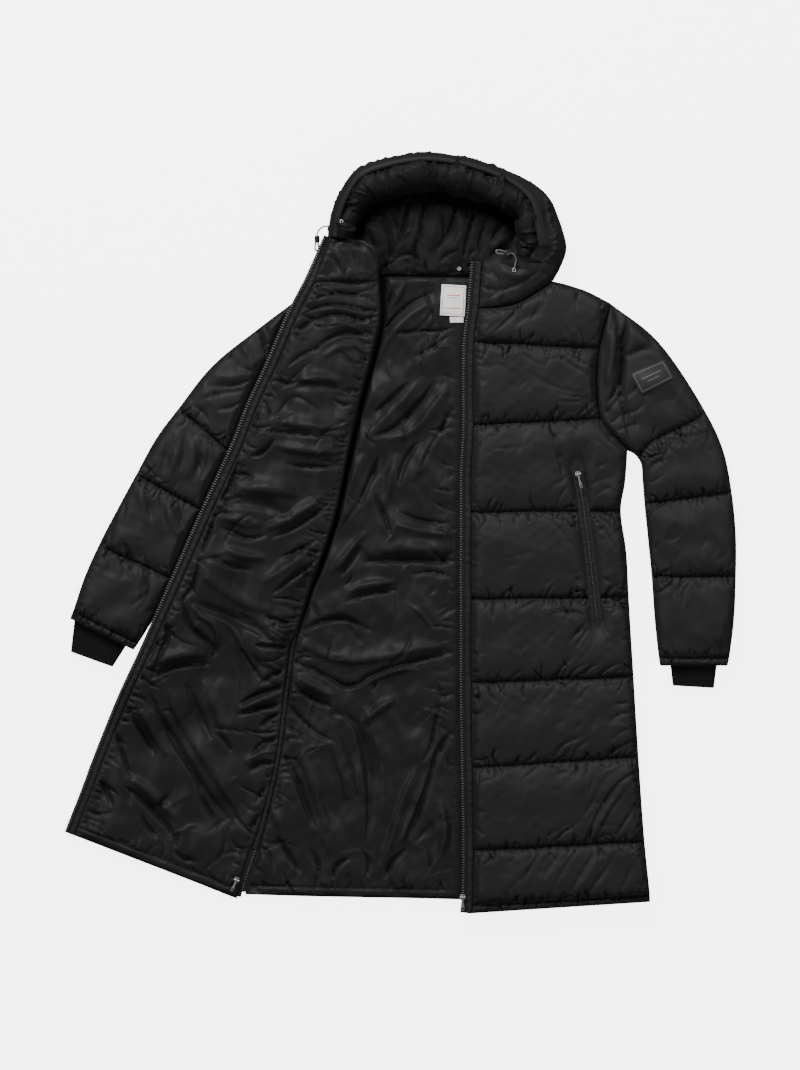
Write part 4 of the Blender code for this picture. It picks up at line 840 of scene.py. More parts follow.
sleeveLeftRows = [
    # outer edge x and y, inner edge x and y, 1 where a seam is quilted
    (346, 381, 375, 138, 1), (423, 320, 387, 131, 0), (504, 201, 397, 117, 1), (533, 138, 400, 88, 0),
    (547, 69, 403, 50, 1), (554, -3, 409, -10, 0), (554, -70, 415, -71, 1), (551, -140, 420, -142, 0),
    (543, -205, 427, -206, 1), (540, -218, 429, -218, 1),
]
sleeveRightRows = [
    (-179, 381, -166, 155, 1), (-232, 341, -190, 146, 1), (-311, 277, -222, 131, 0),
    (-366, 208, -252, 110, 1), (-402, 160, -283, 68, 0), (-436, 99, -308, 28, 1), (-469, 38, -339, -25, 0),
    (-498, -18, -370, -78, 1), (-522, -72, -402, -131, 0), (-541, -128, -433, -181, 1),
    (-546, -140, -441, -192, 1),
]
leftSleeveCreases = creaseTable([
    (7.6, -8.0, 0.3, 0, 346, 405, 352, 377, 364, 336, 370, 303),
    (9.5, 5.6, 0, 0, 334, 386, 339, 344, 344, 300),
    (3.8, -6.3, 0.3, 0, 379, 377, 369, 336, 357, 300, 354, 267),
    (4.7, -7.2, 0.3, 1, 357, 336, 365, 300, 362, 262, 342, 212),
    (3.8, -5.4, 0, 1, 341, 201, 357, 221, 370, 245),
    (3.4, -4.5, 0, 0, 339, 214, 351, 231, 361, 254),
    (3.0, -3.6, 0, 1, 349, 184, 365, 196, 384, 204),
    (3.0, -3.6, 0, 1, 359, 171, 379, 178, 395, 181),
    (8.5, 5.6, 0, 0, 351, 336, 351, 295, 339, 245),
    (3.8, -4.5, 0.3, 0, 375, 287, 395, 300, 420, 303),
    (3.8, -4.1, 0, 0, 395, 336, 412, 320, 422, 300),
    (3.8, -4.5, 0, 0, 412, 386, 431, 366, 455, 336),
    (4.7, 4.5, 0, 0, 395, 402, 420, 377, 441, 344),
    (3.8, -3.6, 0, 0, 448, 311, 468, 283, 478, 245),
    (5.6, -9.0, 0.3, 0, 376, 356, 366, 311, 362, 245, 372, 184, 382, 146),
    (8.0, 5.0, 0, 0, 353, 344, 343, 254, 354, 186),
    (3.0, -5.4, 0, 1, 372, 293, 392, 304, 420, 313),
    (2.8, -4.6, 0, 1, 368, 224, 384, 236, 398, 254),
    (2.8, -4.6, 0, 1, 372, 196, 390, 204, 404, 220),
    (3.0, -5.0, 0, 0, 404, 100, 420, 116, 440, 124),
    (3.0, -4.6, 0, 0, 405, 30, 420, 44, 446, 52),
    (3.0, -5.2, 0, 0, 411, -84, 424, -70, 446, -58),
    (3.0, -5.2, 0, 0, 413, -100, 432, -94, 458, -72),
])
rightSleeveCreases = creaseTable([
    (6.6, 5.6, 0, 0, -367, 168, -370, 135, -377, 99),
    (3.4, -4.9, 0, 0, -356, 171, -357, 135, -364, 102),
    (6.6, 5.6, 0, 0, -339, 160, -342, 125, -351, 92),
    (3.4, -4.9, 0, 0, -328, 155, -331, 122, -341, 85),
    (3.4, -4.1, 0, 0, -384, 155, -389, 125, -392, 99),
    (3.3, -4.1, 0, 0, -318, 141, -319, 115, -328, 89),
    (6.6, 5.4, 0, 0, -430, 72, -425, 42, -418, 13),
    (3.4, -4.9, 0, 0, -420, 82, -415, 49, -408, 19),
    (6.6, 5.4, 0, 0, -384, 56, -377, 26, -364, -10),
    (3.4, -4.9, 0, 0, -374, 62, -364, 29, -351, -4),
    (3.4, -4.5, 0, 0, -397, 66, -392, 36, -384, 6),
    (3.3, -4.1, 0, 0, -453, 56, -456, 29, -460, 6),
    (3.3, -3.6, 0, 0, -466, -30, -456, -53, -453, -76),
    (5.7, 4.5, 0, 0, -433, -37, -427, -63, -430, -93),
    (3.3, -3.6, 0, 0, -420, -43, -413, -66, -417, -96),
    (3.3, -3.6, 0, 0, -446, -119, -430, -109, -413, -93),
    (3.8, -4.5, 0, 0, -285, 300, -268, 273, -265, 244),
    (7.6, 5.4, 0, 0, -268, 320, -248, 290, -242, 254),
    (3.8, -4.5, 0, 0, -321, 254, -308, 231, -295, 204),
    (3.8, -4.1, 0, 0, -229, 349, -215, 320, -212, 287),
    (3.4, -4.1, 0, 0, -344, 214, -324, 198, -311, 174),
    (3.2, -7.0, 0.2, 0, -323, 245, -281, 243, -237, 256),
    (3.0, -5.4, 0, 0, -331, 221, -293, 232, -248, 237),
    (3.2, -6.4, 0, 0, -303, 204, -276, 210, -254, 221),
    (3.0, -5.4, 0, 0, -270, 284, -254, 270, -232, 265),
    (7.0, 4.4, 0, 0, -310, 262, -276, 258, -250, 268),
    (4.0, -6.4, 0, 0, -314, 102, -306, 90, -301, 78),
    (3.0, -4.4, 0, 0, -342, 166, -334, 127, -326, 89),
    (3.0, -4.8, 0, 0, -462, -4, -448, -40, -446, -76),
    (3.0, -4.8, 0, 0, -424, -60, -416, -92, -430, -126),
])
cuffCorners = {
    "left": [(446, -216.5), (523, -216.5), (518, -255), (450, -251)],
    "right": [(-538.9, -141.6), (-452.9, -184.2), (-476, -220), (-545, -195)],
}

frontRightRows = [
    # zip edge x and y, side edge x and y, no quilting
    (-151, 420, -35, 420, 0), (-182, 359, -34, 356, 0), (-214, 283, -49, 290, 0), (-247, 212, -68, 217, 0),
    (-271, 150, -85, 141, 0), (-323, 36, -110, 23, 0), (-374, -80, -149, -90, 0), (-398, -134, -163, -134, 0),
    (-425, -195, -187, -190, 0), (-464, -278, -197, -284, 0), (-504, -377, -210, -380, 0),
    (-522, -426, -234, -478, 0), (-537, -464, -256, -548, 0), (-549, -495, -271, -603, 0),
]
frontRightHem = [(-549, -495), (-445, -535), (-342, -575), (-292, -595), (-271, -603)]
placketWidth = 10.0
openCreases = creaseTable([
    (2.6, -4.6, 0.2, 0, -142, 406, -99, 413, -53, 411),
    (2.9, -6.0, 0.2, 0, -147, 384, -118, 394, -94, 397, -50, 388),
    (2.4, -4.2, 0, 0, -118, 406, -89, 394, -52, 401),
    (2.9, -6.2, -0.2, 0, -162, 362, -128, 376, -99, 378, -50, 369),
    (3.3, -6.8, 0.2, 0, -169, 336, -138, 353, -104, 362, -52, 349),
    (2.4, -3.8, 0, 0, -157, 348, -128, 341, -94, 345),
    (3.6, -8.6, 0.3, 0, -142, 302, -118, 321, -89, 331, -46, 325),
    (6.4, 4.6, 0, 0, -128, 291, -101, 307, -70, 312),
    (3.0, -5.8, 0.2, 0, -186, 275, -162, 294, -133, 308),
    (2.9, -5.4, 0, 0, -79, 308, -65, 297, -58, 285),
    (2.6, -4.6, 0, 0, -101, 300, -84, 286, -60, 272),
    (6.2, 3.8, 0, 0, -139, 366, -104, 372, -68, 362),
    (5.6, 3.6, 0, 0, -133, 335, -104, 346, -72, 340),
    (7.0, -6.0, 0, 0, -174, 241, -138, 245, -99, 237),
    (7.0, 5.0, 0, 0, -172, 254, -135, 258, -96, 251),
    (2.6, -4.4, 0, 0, -205, 254, -186, 247, -166, 252),
    (2.8, -5.0, 0, 0, -113, 222, -96, 213, -78, 214),
    (3.5, -6.6, 0.3, 0, -237, 171, -182, 166, -115, 158),
    (9.7, 8.0, 0.3, 0, -205, 186, -158, 179, -103, 173),
    (8.7, 8.0, 0.2, 0, -209, 145, -146, 135, -95, 135),
    (3.9, -9.7, 0.2, 0, -248, 127, -229, 133, -207, 155),
    (3.9, -7.8, 0, 0, -191, 115, -149, 110, -103, 112),
    (11.7, -10.4, 0.2, 0, -291, 51, -233, 49, -179, 29),
    (11.7, 8.0, 0.2, 0, -273, 77, -224, 74, -166, 62),
    (3.4, -8.9, 0.3, 0, -212, -7, -182, 6, -149, 26, -115, 52),
    (8.7, 8.0, 0.2, 0, -222, 8, -192, 19, -156, 41, -123, 67),
    (3.9, -8.2, 0, 0, -299, 11, -278, 3, -252, -7, -219, -2),
    (8.7, 8.0, 0, 0, -295, 28, -265, 21, -229, 13),
    (3.9, -8.9, 0.2, 0, -212, -101, -182, -76, -149, -53, -134, -38),
    (8.7, 8.0, 0, 0, -229, -83, -196, -60, -163, -37, -143, -20),
    (3.4, -7.8, 0, 0, -199, -40, -169, -27, -138, -10),
    (7.7, 8.0, 0, 0, -290, -24, -257, -37, -222, -40),
    (3.9, -7.8, 0, 0, -311, -37, -281, -52, -245, -60),
    (3.5, -7.8, 0, 0, -285, 95, -265, 99, -242, 92),
    (10.7, 8.0, 0.2, 0, -324, -68, -291, -94, -248, -119, -209, -126),
    (4.8, -11.5, 0.4, 0, -359, -104, -356, -129, -349, -152, -324, -175, -306, -192, -311, -205),
    (5.8, 8.0, 0, 0, -342, -116, -329, -136, -308, -149, -298, -185),
    (8.7, -11.5, 0.3, 0, -347, -113, -299, -132, -240, -157, -205, -184),
    (6.8, 8.0, 0, 0, -324, -127, -283, -149, -266, -170, -257, -195, -237, -238),
    (4.4, -10.4, 0, 0, -263, -189, -248, -215, -230, -243),
    (3.9, -10.4, 0, 0, -389, -147, -382, -170, -389, -189),
    (3.5, -8.9, 0, 0, -392, -157, -405, -172, -418, -192),
    (3.5, -8.9, 0, 0, -397, -174, -408, -192, -422, -213),
    (8.7, 8.0, 0.3, 0, -427, -225, -392, -208, -359, -200, -321, -200),
    (4.8, -11.5, 0.2, 0, -413, -240, -380, -222, -347, -215, -314, -215),
    (5.8, -11.5, 0.4, 0, -422, -255, -392, -314, -351, -382, -316, -436, -275, -484),
    (11.7, 8.0, 0.3, 0, -394, -238, -359, -314, -308, -395, -263, -466),
    (6.8, -8.9, 0, 0, -354, -246, -334, -297, -313, -340),
    (9.7, 8.0, 0, 0, -324, -241, -299, -301, -278, -354),
    (4.4, -9.7, 0.2, 0, -451, -292, -427, -330, -405, -367),
    (7.7, 8.0, 0, 0, -433, -284, -408, -327, -387, -367),
    (4.4, -9.7, 0.2, 0, -471, -330, -456, -373, -441, -408),
    (4.4, -8.9, 0, 0, -494, -406, -486, -428, -476, -451),
    (4.4, -9.7, 0.2, 0, -456, -416, -418, -449, -384, -487, -370, -515),
    (8.7, 8.0, 0, 0, -450, -398, -410, -431, -370, -472),
    (3.9, -8.2, 0, 0, -337, -410, -321, -449, -298, -486),
    (3.9, -7.8, 0, 0, -377, -522, -361, -535, -337, -542),
    (3.9, -7.8, 0, 0, -430, -459, -420, -482, -402, -502),
    (3.9, -10.4, 0.2, 1, -189, -187, -215, -185, -240, -184),
    (3.9, -9.7, 0.2, 1, -194, -225, -212, -233, -233, -248),
    (4.4, -11.0, 0.2, 1, -200, -253, -235, -264, -268, -283),
    (3.9, -9.7, 0.2, 1, -202, -281, -237, -288, -271, -299),
    (3.9, -8.9, 0.2, 1, -202, -297, -219, -306, -233, -321),
    (3.5, -8.9, 0.2, 1, -187, -147, -205, -141, -225, -136),
    (3.9, -8.9, 0.2, 1, -207, -337, -229, -347, -248, -367),
    (3.9, -8.9, 0.2, 1, -212, -377, -232, -380, -253, -393),
    (3.9, -8.2, 0.2, 1, -215, -416, -229, -426, -240, -446),
    (3.9, -8.2, 0.2, 1, -222, -459, -235, -469, -248, -487),
    (7.7, 8.0, 0, 0, -205, -268, -235, -276, -265, -291),
    (7.7, 8.0, 0, 0, -209, -357, -235, -363, -255, -380),
    (3.6, -8.6, 0.3, 0, -266, 128, -280, 84, -300, 50),
    (3.8, -8.8, 0.3, 0, -302, 40, -316, 0, -330, -34),
    (3.6, -8.0, 0.3, 0, -332, -42, -343, -86, -362, -112),
    (2.8, -5.6, 0, 0, -230, 212, -244, 178, -262, 144),
    (3.2, -7.0, 0.2, 0, -378, -150, -396, -196, -410, -232),
])
zipEdge = [(-151, 420), (-182, 359), (-214, 283), (-247, 212), (-271, 150), (-323, 36), (-374, -80),
           (-425, -195), (-464, -278), (-504, -377), (-522, -426), (-537, -464), (-549, -495)]

hoodStations = [
    # outline x and y, how far its rim leans in, height, depth of the padded facing
    (-120, 491, 2, 46, 16), (-115, 526, 2, 54, 22), (-101, 562, 2, 60, 30), (-75, 599, 2, 65, 36),
    (-26, 619, 2, 69, 40), (45, 629, 2, 72, 40), (123, 617, 2, 72, 40), (197, 590, 6, 72, 36),
    (240, 561, 17, 72, 32), (263, 516, 29, 71, 28), (274, 471, 34, 66, 26), (263, 437, 38, 60, 22),
]
hoodWall = 12.0
hoodFloor = 26.0

# Closed front

print("closed front")
closedFront = {
    "valley": 7.0, "peak": 17.0, "radius": 22.0, "seed": 4,
    "groove": 3.0, "grooveWidth": 1.5,           # at the stitching itself
    "waves": 1.3, "waveSize": 70.0,
    "seamPuckers": puckerLook((3.0, 12), (4, 38), (1.2, 2.5), (2.0, 5.0), 32),
    "edgePuckers": puckerLook((4, 13), (6, 24), (1.5, 2.8), (1.8, 4.4), 26),
    "small": {"length": (12, 50), "width": (1.8, 3.6), "height": (0.7, 2.6)},
    "pocketRise": 12.0, "pocketReach": 10.0, "pocketFall": 18.0, "pocketFade": 16.0, "pocketEnd": 0.6,
}


def quiltedTop(grid, run, seams, base, look, wander=0.5):
    # Height of a quilted panel: valleys at the seams, rounded at all four edges.
    # A bend (seam, rise, reach) draws that seam up towards the panel's far side.
    left, right = across(grid)
    first, last = down(grid)
    sides = edgeBulge(left, look["radius"]) * edgeBulge(right, look["radius"])
    ends = edgeBulge(first, 9.0) * edgeBulge(last, 9.0)
    wave = wander * waviness(grid[..., 0], grid[..., 1] * 0.2, 90.0, look["seed"])
    along = run[:, None] + wave * np.clip(first / 20, 0, 1) * np.clip(last / 20, 0, 1)
    if "bend" in look:
        index, rise, reach = look["bend"]
        share = left / (left + right)
        along = along + rise * share ** 2 * np.exp(-((run[:, None] - seams[index] + rise / 2) / reach) ** 2)
    bulge = channelBulge(along, seams)
    groove = sum(np.exp(-(np.abs(along - seam) / look["grooveWidth"]) ** 1.3) for seam in seams[1:-1])
    high = base + edgeRise + sides * (ends * look["valley"] + bulge * look["peak"]) - look["groove"] * groove
    return high, along


def quiltCreases(grid, run, seams, look, lean=0.0):
    # The small creases of a quilted panel: they leave its seams on both sides,
    # and its two side edges. lean swings those on the upper side of the seams.
    creases = []
    for k, seam in enumerate(seams):
        line = grid[np.argmin(np.abs(run - seam)), :, :2]
        if k > 0:
            creases += puckersAlong(line, 1, look["seamPuckers"], look["seed"] + 10 * k, lean)
        if k < len(seams) - 1:
            creases += puckersAlong(line, -1, look["seamPuckers"], look["seed"] + 10 * k + 5)
    creases += puckersAlong(grid[:, 0, :2], 1, look["edgePuckers"], look["seed"] + 101)
    creases += puckersAlong(grid[:, -1, :2], -1, look["edgePuckers"], look["seed"] + 102)
    return creases


def edgeFade(grid, reach=4.0):
    # 0 on a panel's four edges and 1 from this far in.
    return np.clip(fromEdges(grid) / reach, 0, 1)


def makeClosedFront():
    look = closedFront
    left, right, run, seams, at = sampleTable(frontLeftRows, [underarmRow])
    columns = int(np.linalg.norm(right - left, axis=1).max() / gridStep * 1.25)
    u = np.linspace(0, 1, columns)
    u = u + (shoulderShare - u[np.argmin(abs(u - shoulderShare))]) * np.sin(math.pi * u)
    neck = byLength(neckLeft[:shoulderPoint + 1], u[u < shoulderShare] / shoulderShare)
    past = (u[u >= shoulderShare] - shoulderShare) / (1 - shoulderShare)
    shoulder = byLength(neckLeft[shoulderPoint:], past)
    top = np.vstack([neck, shoulder])
    grid = ruledGrid(left, right, u, top=top, topFade=1 - np.clip(at, 0, 1))
    high, along = quiltedTop(grid, run, seams, frontLeftBase, look)
    x, y = grid[..., 0], grid[..., 1]
    pocket = np.array(pocketLine[::-1])
    beyond = np.maximum(0, np.maximum(y - pocket[-1, 1], pocket[0, 1] - y))
    fromPocket = np.hypot(x - np.interp(y, pocket[:, 1], pocket[:, 0]), beyond * look["pocketEnd"])
    creases = frontCreases + quiltCreases(grid, run, seams, look, -20.0)
    for side, seed in ((1, 7), (-1, 8)):
        creases += puckersAlong(sideways(evenLine(pocketLine, 6.0), look["pocketReach"] + 2, side), side,
                                look["edgePuckers"], seed)
    creases += scatteredCreases(120, (130, -600, 400, 370), 35, 30, look["small"], 9)
    creases += scatteredCreases(60, (290, -600, 405, 370), 40, 20, look["small"], 10)
    wave = undulation(x, y, look["waveSize"], look["waves"], look["seed"])
    high = high + edgeFade(grid, 12.0) * channelBulge(along, seams) * wave \
        + edgeFade(grid) * creaseHeight(x, y, creases)
    flat = frontLeftBase + edgeRise + look["pocketRise"]
    beyond = np.maximum(0, fromPocket - look["pocketReach"])
    rise = look["pocketFall"] * (1 - np.exp(-beyond / look["pocketFade"]))
    press = high - (flat + rise)
    high = high - 0.5 * (press + np.sqrt(press ** 2 + 4.0)) * (press > -8)
    made = paddedPiece("closedFront", np.dstack([grid, high]), frontLeftBase, layerInset, polyesterShell)
    capped(made, "shell", "front_left")
    return np.dstack([grid, high]), along, seams, left


frontSurface, frontAlong, frontSeams, frontEdge = makeClosedFront()

# Back lining

print("back lining")
backLook = {
    "waves": 2.6, "waveSize": 80.0, "seed": 11, "pad": 4.0,
    "showsTo": 98.0, "rise": 14.0, "dip": 12.0,   # x where it goes under the closed front
    "gapRows": (-200, 100, 250, 330, 420), "gapWidths": (0, 0, 1.5, 4, 4),   # beside the open front
    "edgePuckers": puckerLook((5, 15), (10, 66), (2.0, 3.8), (1.6, 5.5), 26),
    "hemPuckers": puckerLook((5, 17), (6, 34), (1.8, 3.2), (1.6, 4.5), 22),
    "small": {"length": (18, 80), "width": (2.0, 4.4), "height": (1.6, 5.5)},
}


def unevenShares(total, spans):
    # Column shares across a width: spans of (end share, step in millimetres).
    shares, start = [0.0], 0.0
    for end, step in spans:
        count = max(2, int((end - start) * total / step))
        shares += list(np.linspace(start, end, count + 1)[1:])
        start = end
    return np.array(shares)


def lappedSide(edge, heading):
    # Below the underarm both panels reach into the seam, to the piping.
    reach = sideSeam["reach"] * easeStep((sideSeam["from"] - 4 - edge[:, 1]) / 20) \
        * easeStep((edge[:, 1] - sideSeam["to"]) / 8)
    return np.column_stack([heading * reach, np.zeros(len(edge))])


def makeBackLining():
    look = backLook
    left, right, _, _, at = sampleTable(backRows, [underarmRow])
    seamEdge, left = left, left + lappedSide(left, -1)
    width = np.linalg.norm(right - left, axis=1).max()
    u = unevenShares(width, [(0.56, gridStep), (1.0, 12.0)])
    top = byLength(backTopLine, u)
    grid = ruledGrid(left, right, u, top=top, bottom=byLength(backHem, u),
                     topFade=np.clip(1 - at / 4, 0, 1), bottomFade=np.clip((at - 9) / 2, 0, 1))
    x, y = grid[..., 0], grid[..., 1]
    fromLeft, fromRight = across(grid)
    first, last = down(grid)
    showing = easeStep((look["showsTo"] - x) / 30)
    frontSide = np.array(frontRightRows, float)[::-1, 2:4]
    shadow = np.interp(y, look["gapRows"], look["gapWidths"])
    past = x - np.interp(y, frontSide[:, 1], frontSide[:, 0])
    bare, covered = easeStep((past - shadow) / 20), easeStep((-14 - past) / 12)
    creases = backCreases + scatteredCreases(70, (-250, -590, 110, 400), 60, 45, look["small"], 12)
    zipSideLine = np.column_stack([np.full(60, 100.0), np.linspace(-590, 330, 60)])
    creases += puckersAlong(zipSideLine, 1, look["edgePuckers"], 13)
    seam = grid[:, 0, :2][y[:, 0] < -150]
    creases += puckersAlong(seam, 1, look["edgePuckers"], 14)
    hem = hemStitching(grid, last)
    creases += puckersAlong(hem[u < 0.6], 1, look["hemPuckers"], 15)
    lift = creaseHeight(x, y, creases) + undulation(x, y, look["waveSize"], look["waves"], look["seed"])
    pad = liningThickness + look["pad"] + lift * edgeFade(grid, 6.0) - hemGroove(last)
    high = backHeight + showing * np.maximum(pad - backHeight, -11)
    # Low in the strip beside the open front, where the shadow falls, and flat under it
    high = np.minimum(high, backHeight + look["rise"] * bare - look["dip"] * (1 - bare) * (1 - covered))
    edges = edgeBulge(fromLeft, 16) * edgeBulge(fromRight, 16) * edgeBulge(first, 12) * edgeBulge(last, 12)
    high = bellyHeight + (high - bellyHeight) * edges
    made = paddedPiece("backLining", np.dstack([grid, high]), 0.0, floorInset, taffetaLining)
    capped(made, "lining", "back_panel")
    return np.dstack([grid, high]), seamEdge


backSurface, backSide = makeBackLining()

# Sleeves

print("sleeves")
sleeveLook = {
    "valley": 8.0, "peak": 15.0, "radius": 30.0, "seed": 21,
    "groove": 2.6, "grooveWidth": 1.5, "waves": 1.1, "waveSize": 60.0,
    "seamPuckers": puckerLook((3.0, 11), (4, 28), (1.2, 2.4), (2.0, 5.0), 28),
    "edgePuckers": puckerLook((5, 14), (6, 22), (1.5, 2.8), (1.6, 4.0), 24),
    "bend": (1, 46.0, 62.0),      # the left sleeve's first seam: which one, its rise and its reach
    "small": {"length": (14, 54), "width": (1.9, 3.8), "height": (1.0, 3.6)},
}


def rightPress(x, y, top):
    # Flat where the open front lies on the sleeve, rising clear of its edge.
    line = np.array(zipEdge[::-1])
    clear = (np.interp(y, line[:, 1], line[:, 0]) - x) * 0.9
    return np.minimum(top, pressedHeight + np.maximum(0, clear - 9) * 1.1)


def makeSleeve(side, table, armhole, heading, press, creases, box):
    # The first row follows the armhole; the underside is the same outline, flat.
    edge = sideways(byLength(armhole, np.linspace(0, 1, 60)), -seamLap, heading)
    table = [list(row) for row in table]
    table[0][:4] = [*edge[0], *edge[-1]]
    outer, inner, run, seams, at = sampleTable(table, [])
    width = runLengths(edge)[-1]
    u = np.linspace(0, 1, int(width / gridStep * 0.8))
    top = byLength(edge, u)
    grid = ruledGrid(outer, inner, u, top=top, topFade=np.clip(1 - at / 2, 0, 1) ** 1.5)
    base = underHeight + gap
    look = {**sleeveLook, "seed": sleeveLook["seed"] + (heading > 0)}
    if heading < 0:
        del look["bend"]
    high, along = quiltedTop(grid, run, seams, base, look)
    x, y = grid[..., 0], grid[..., 1]
    creases = creases + quiltCreases(grid, run, seams, look)
    creases += puckersAlong(grid[0, :, :2], -heading, look["edgePuckers"], look["seed"] + 3)
    creases += scatteredCreases(110, box, 75 * heading, 26, look["small"], look["seed"] + 4)
    lift = undulation(x, y, look["waveSize"], look["waves"], look["seed"]) * edgeFade(grid, 12.0) \
        + creaseHeight(x, y, creases) * edgeFade(grid)
    high = press(x, y, np.maximum(high + lift, base + edgeRise * 0.6))
    surface = np.dstack([grid, high])
    name = "sleeve" + side.capitalize()
    made = paddedPiece(name + "Upper", surface, base, layerInset, polyesterShell)
    capped(made, "shell", f"sleeve_{side}_upper")
    # Under panel: full at its belly, tucked in above and below
    belly = np.dstack([grid, np.full(x.shape, underHeight)])
    belly[..., 2] = bellyHeight + (underHeight - bellyHeight) * edgeBulge(fromEdges(grid), layerInset + 2)
    coarse = belly[::2, ::2] if len(belly) % 2 else np.concatenate([belly[:-1:2], belly[-1:]])[:, ::2]
    under = paddedPiece(name + "Under", coarse, 0.0, floorInset, polyesterShell)
    capped(under, "shell", f"sleeve_{side}_under")
    return surface, along, seams


leftSleeve = makeSleeve("left", sleeveLeftRows, armholeLeft, 1, lambda x, y, top: top, leftSleeveCreases,
                        (340, -200, 560, 370))
rightSleeve = makeSleeve("right", sleeveRightRows, armholeRight, -1, rightPress, rightSleeveCreases,
                         (-550, -190, -180, 370))

# Cuffs

cuffLook = {"height": 13.6, "wall": 2.0, "ribPitch": 2.9, "ribHeight": 0.8, "squareness": 0.55}


def makeCuff(side):
    # Rib knit tube, flattened: a rounded slot of a section with half-round ribs,
    # open at the wrist. Its rows run down the outside and back up the inside.
    nearA, nearB, farB, farA = [np.array(p, float) for p in cuffCorners[side]]
    t = np.linspace(0, 1, 16)[:, None]
    a, b = nearA + (farA - nearA) * t, nearB + (farB - nearB) * t
    width = np.linalg.norm(nearB - nearA)
    ribs = round(2 * width / cuffLook["ribPitch"])
    around = np.linspace(0, math.tau, 6 * ribs, endpoint=False)
    swell = np.abs(np.sin(ribs * around / 2)) ** 0.7 * cuffLook["ribHeight"]
    middle = cuffLook["height"] / 2

    def tube(shrink, ribbed):
        # |across| and |up| follow a flattened round: powers of cosine and sine.
        reach = np.linalg.norm(b - a, axis=1)[:, None] / 2
        outward = (swell if ribbed else 0) - shrink
        cos, sin = np.cos(around), np.sin(around)
        flat, up = [np.sign(wave) * np.abs(wave) ** cuffLook["squareness"] for wave in (cos, sin)]
        span = (reach - cuffLook["ribHeight"] + outward) * flat
        rise = middle + (middle - cuffLook["ribHeight"] + outward) * up
        along = (b - a) / np.linalg.norm(b - a, axis=1)[:, None]
        centre = (a + b) / 2
        flatPoints = centre[:, None] + along[:, None] * span[..., None]
        return np.concatenate([flatPoints, np.broadcast_to(rise, span.shape)[..., None]], -1)

    outside, inside = tube(0.0, True), tube(cuffLook["wall"], False)
    grid = np.concatenate([outside, inside[::-1]], 0)
    quads = gridQuads(grid.shape[0], grid.shape[1], wrap=True, wrapRows=True)
    made = addPiece("cuff" + side.capitalize(), [(grid, quads, [])], ribYarn, sharp=60)
    capped(made, "rib_knit", f"cuff_{side}")


makeCuff("left")
makeCuff("right")

# Open front

print("open front")
openLook = {
    "waves": 2.8, "waveSize": 85.0, "seed": 31,
    "edgePuckers": puckerLook((5, 13), (8, 52), (1.9, 3.6), (1.8, 5.5), 28),
    "innerPuckers": puckerLook((5, 13), (10, 64), (1.9, 3.6), (1.8, 5.5), 22),
    "hemPuckers": puckerLook((5, 16), (6, 36), (1.8, 3.4), (1.6, 4.5), 22),
    "small": {"length": (18, 80), "width": (2.0, 4.4), "height": (1.6, 5.5)},
}
sleeveOutline = np.concatenate([rightSleeve[0][0, ::6, :2], rightSleeve[0][::12, -1, :2],
                                rightSleeve[0][-1, ::-6, :2], rightSleeve[0][::-12, 0, :2]])
coveredBack = [(-179, 381), (-170, 306), (-166, 155), (-163, 36), (-164, -108), (-170, -150),
               (-149, -90), (-110, 23), (-68, 217), (-34, 356), (-35, 424), (-100, 405)]


drapeReach, drapeEase = 150, 125      # where the open front meets the floor, over what stretch it falls


def supportHeight(x, y):
    # Height of what lies under the open front, eased down to the surface.
    onSleeve, onBack = [high * easeStep((drapeReach - polygonDistance(x, y, outline)) / drapeEase)
                        for high, outline in ((pressedHeight, sleeveOutline), (backHeight + 2, coveredBack))]
    under = (onSleeve ** 4 + onBack ** 4) ** 0.25
    return np.where(under > 0.5, under + gap, 0.0)


def makeOpenFront():
    look = openLook
    zipSide, side, _, _, at = sampleTable(frontRightRows, [8])
    inner = sideways(zipSide, placketWidth - 0.8, 1)
    seamEdge, side = side, side + lappedSide(side, 1)
    u = np.linspace(0, 1, int(np.linalg.norm(side - inner, axis=1).max() / gridStep))
    hem = byLength(frontRightHem, u) + (inner[-1] - zipSide[-1]) * (1 - u)[:, None]
    grid = ruledGrid(inner, side, u, bottom=hem, bottomFade=np.clip((at - 11) / 2, 0, 1))
    x, y = grid[..., 0], grid[..., 1]
    left, right = across(grid)
    first, last = down(grid)
    under = supportHeight(x, y)
    settled = easeStep((-40 - y) / 50) * np.exp(-(right / 22) ** 2)     # comes down to the side seam
    under -= settled * np.maximum(under - 7, 0)
    creases = openCreases + scatteredCreases(45, (-540, -590, -170, -130), 20, 40, look["small"], 32)
    creases += scatteredCreases(40, (-330, -130, -40, 420), 5, 22, look["small"], 33)
    creases += puckersAlong(inner, 1, look["edgePuckers"], 34)
    creases += puckersAlong(side, -1, look["innerPuckers"], 35)
    creases += puckersAlong(hemStitching(grid, last), 1, look["hemPuckers"], 36)
    lift = undulation(x, y, look["waveSize"], look["waves"], look["seed"]) * edgeFade(grid, 20.0) \
        + creaseHeight(x, y, creases) * edgeFade(grid, 9.0)
    high = under + liningThickness + 2 + lift - hemGroove(last)
    edges = edgeBulge(left, 14) * edgeBulge(right, 18) * edgeBulge(last, 14) * edgeBulge(first + 3, 12)
    level = under + np.where(under > 0, edgeRise, bellyHeight)
    high = np.maximum(level + (high - level) * edges, under + 2.5)
    surface = np.dstack([grid, high])
    made = paddedPiece("openFront", surface, under, layerInset, taffetaLining)
    capped(made, "lining", "front_right")
    return surface, zipSide, seamEdge


openSurface, zipSide, openSide = makeOpenFront()

# Hood

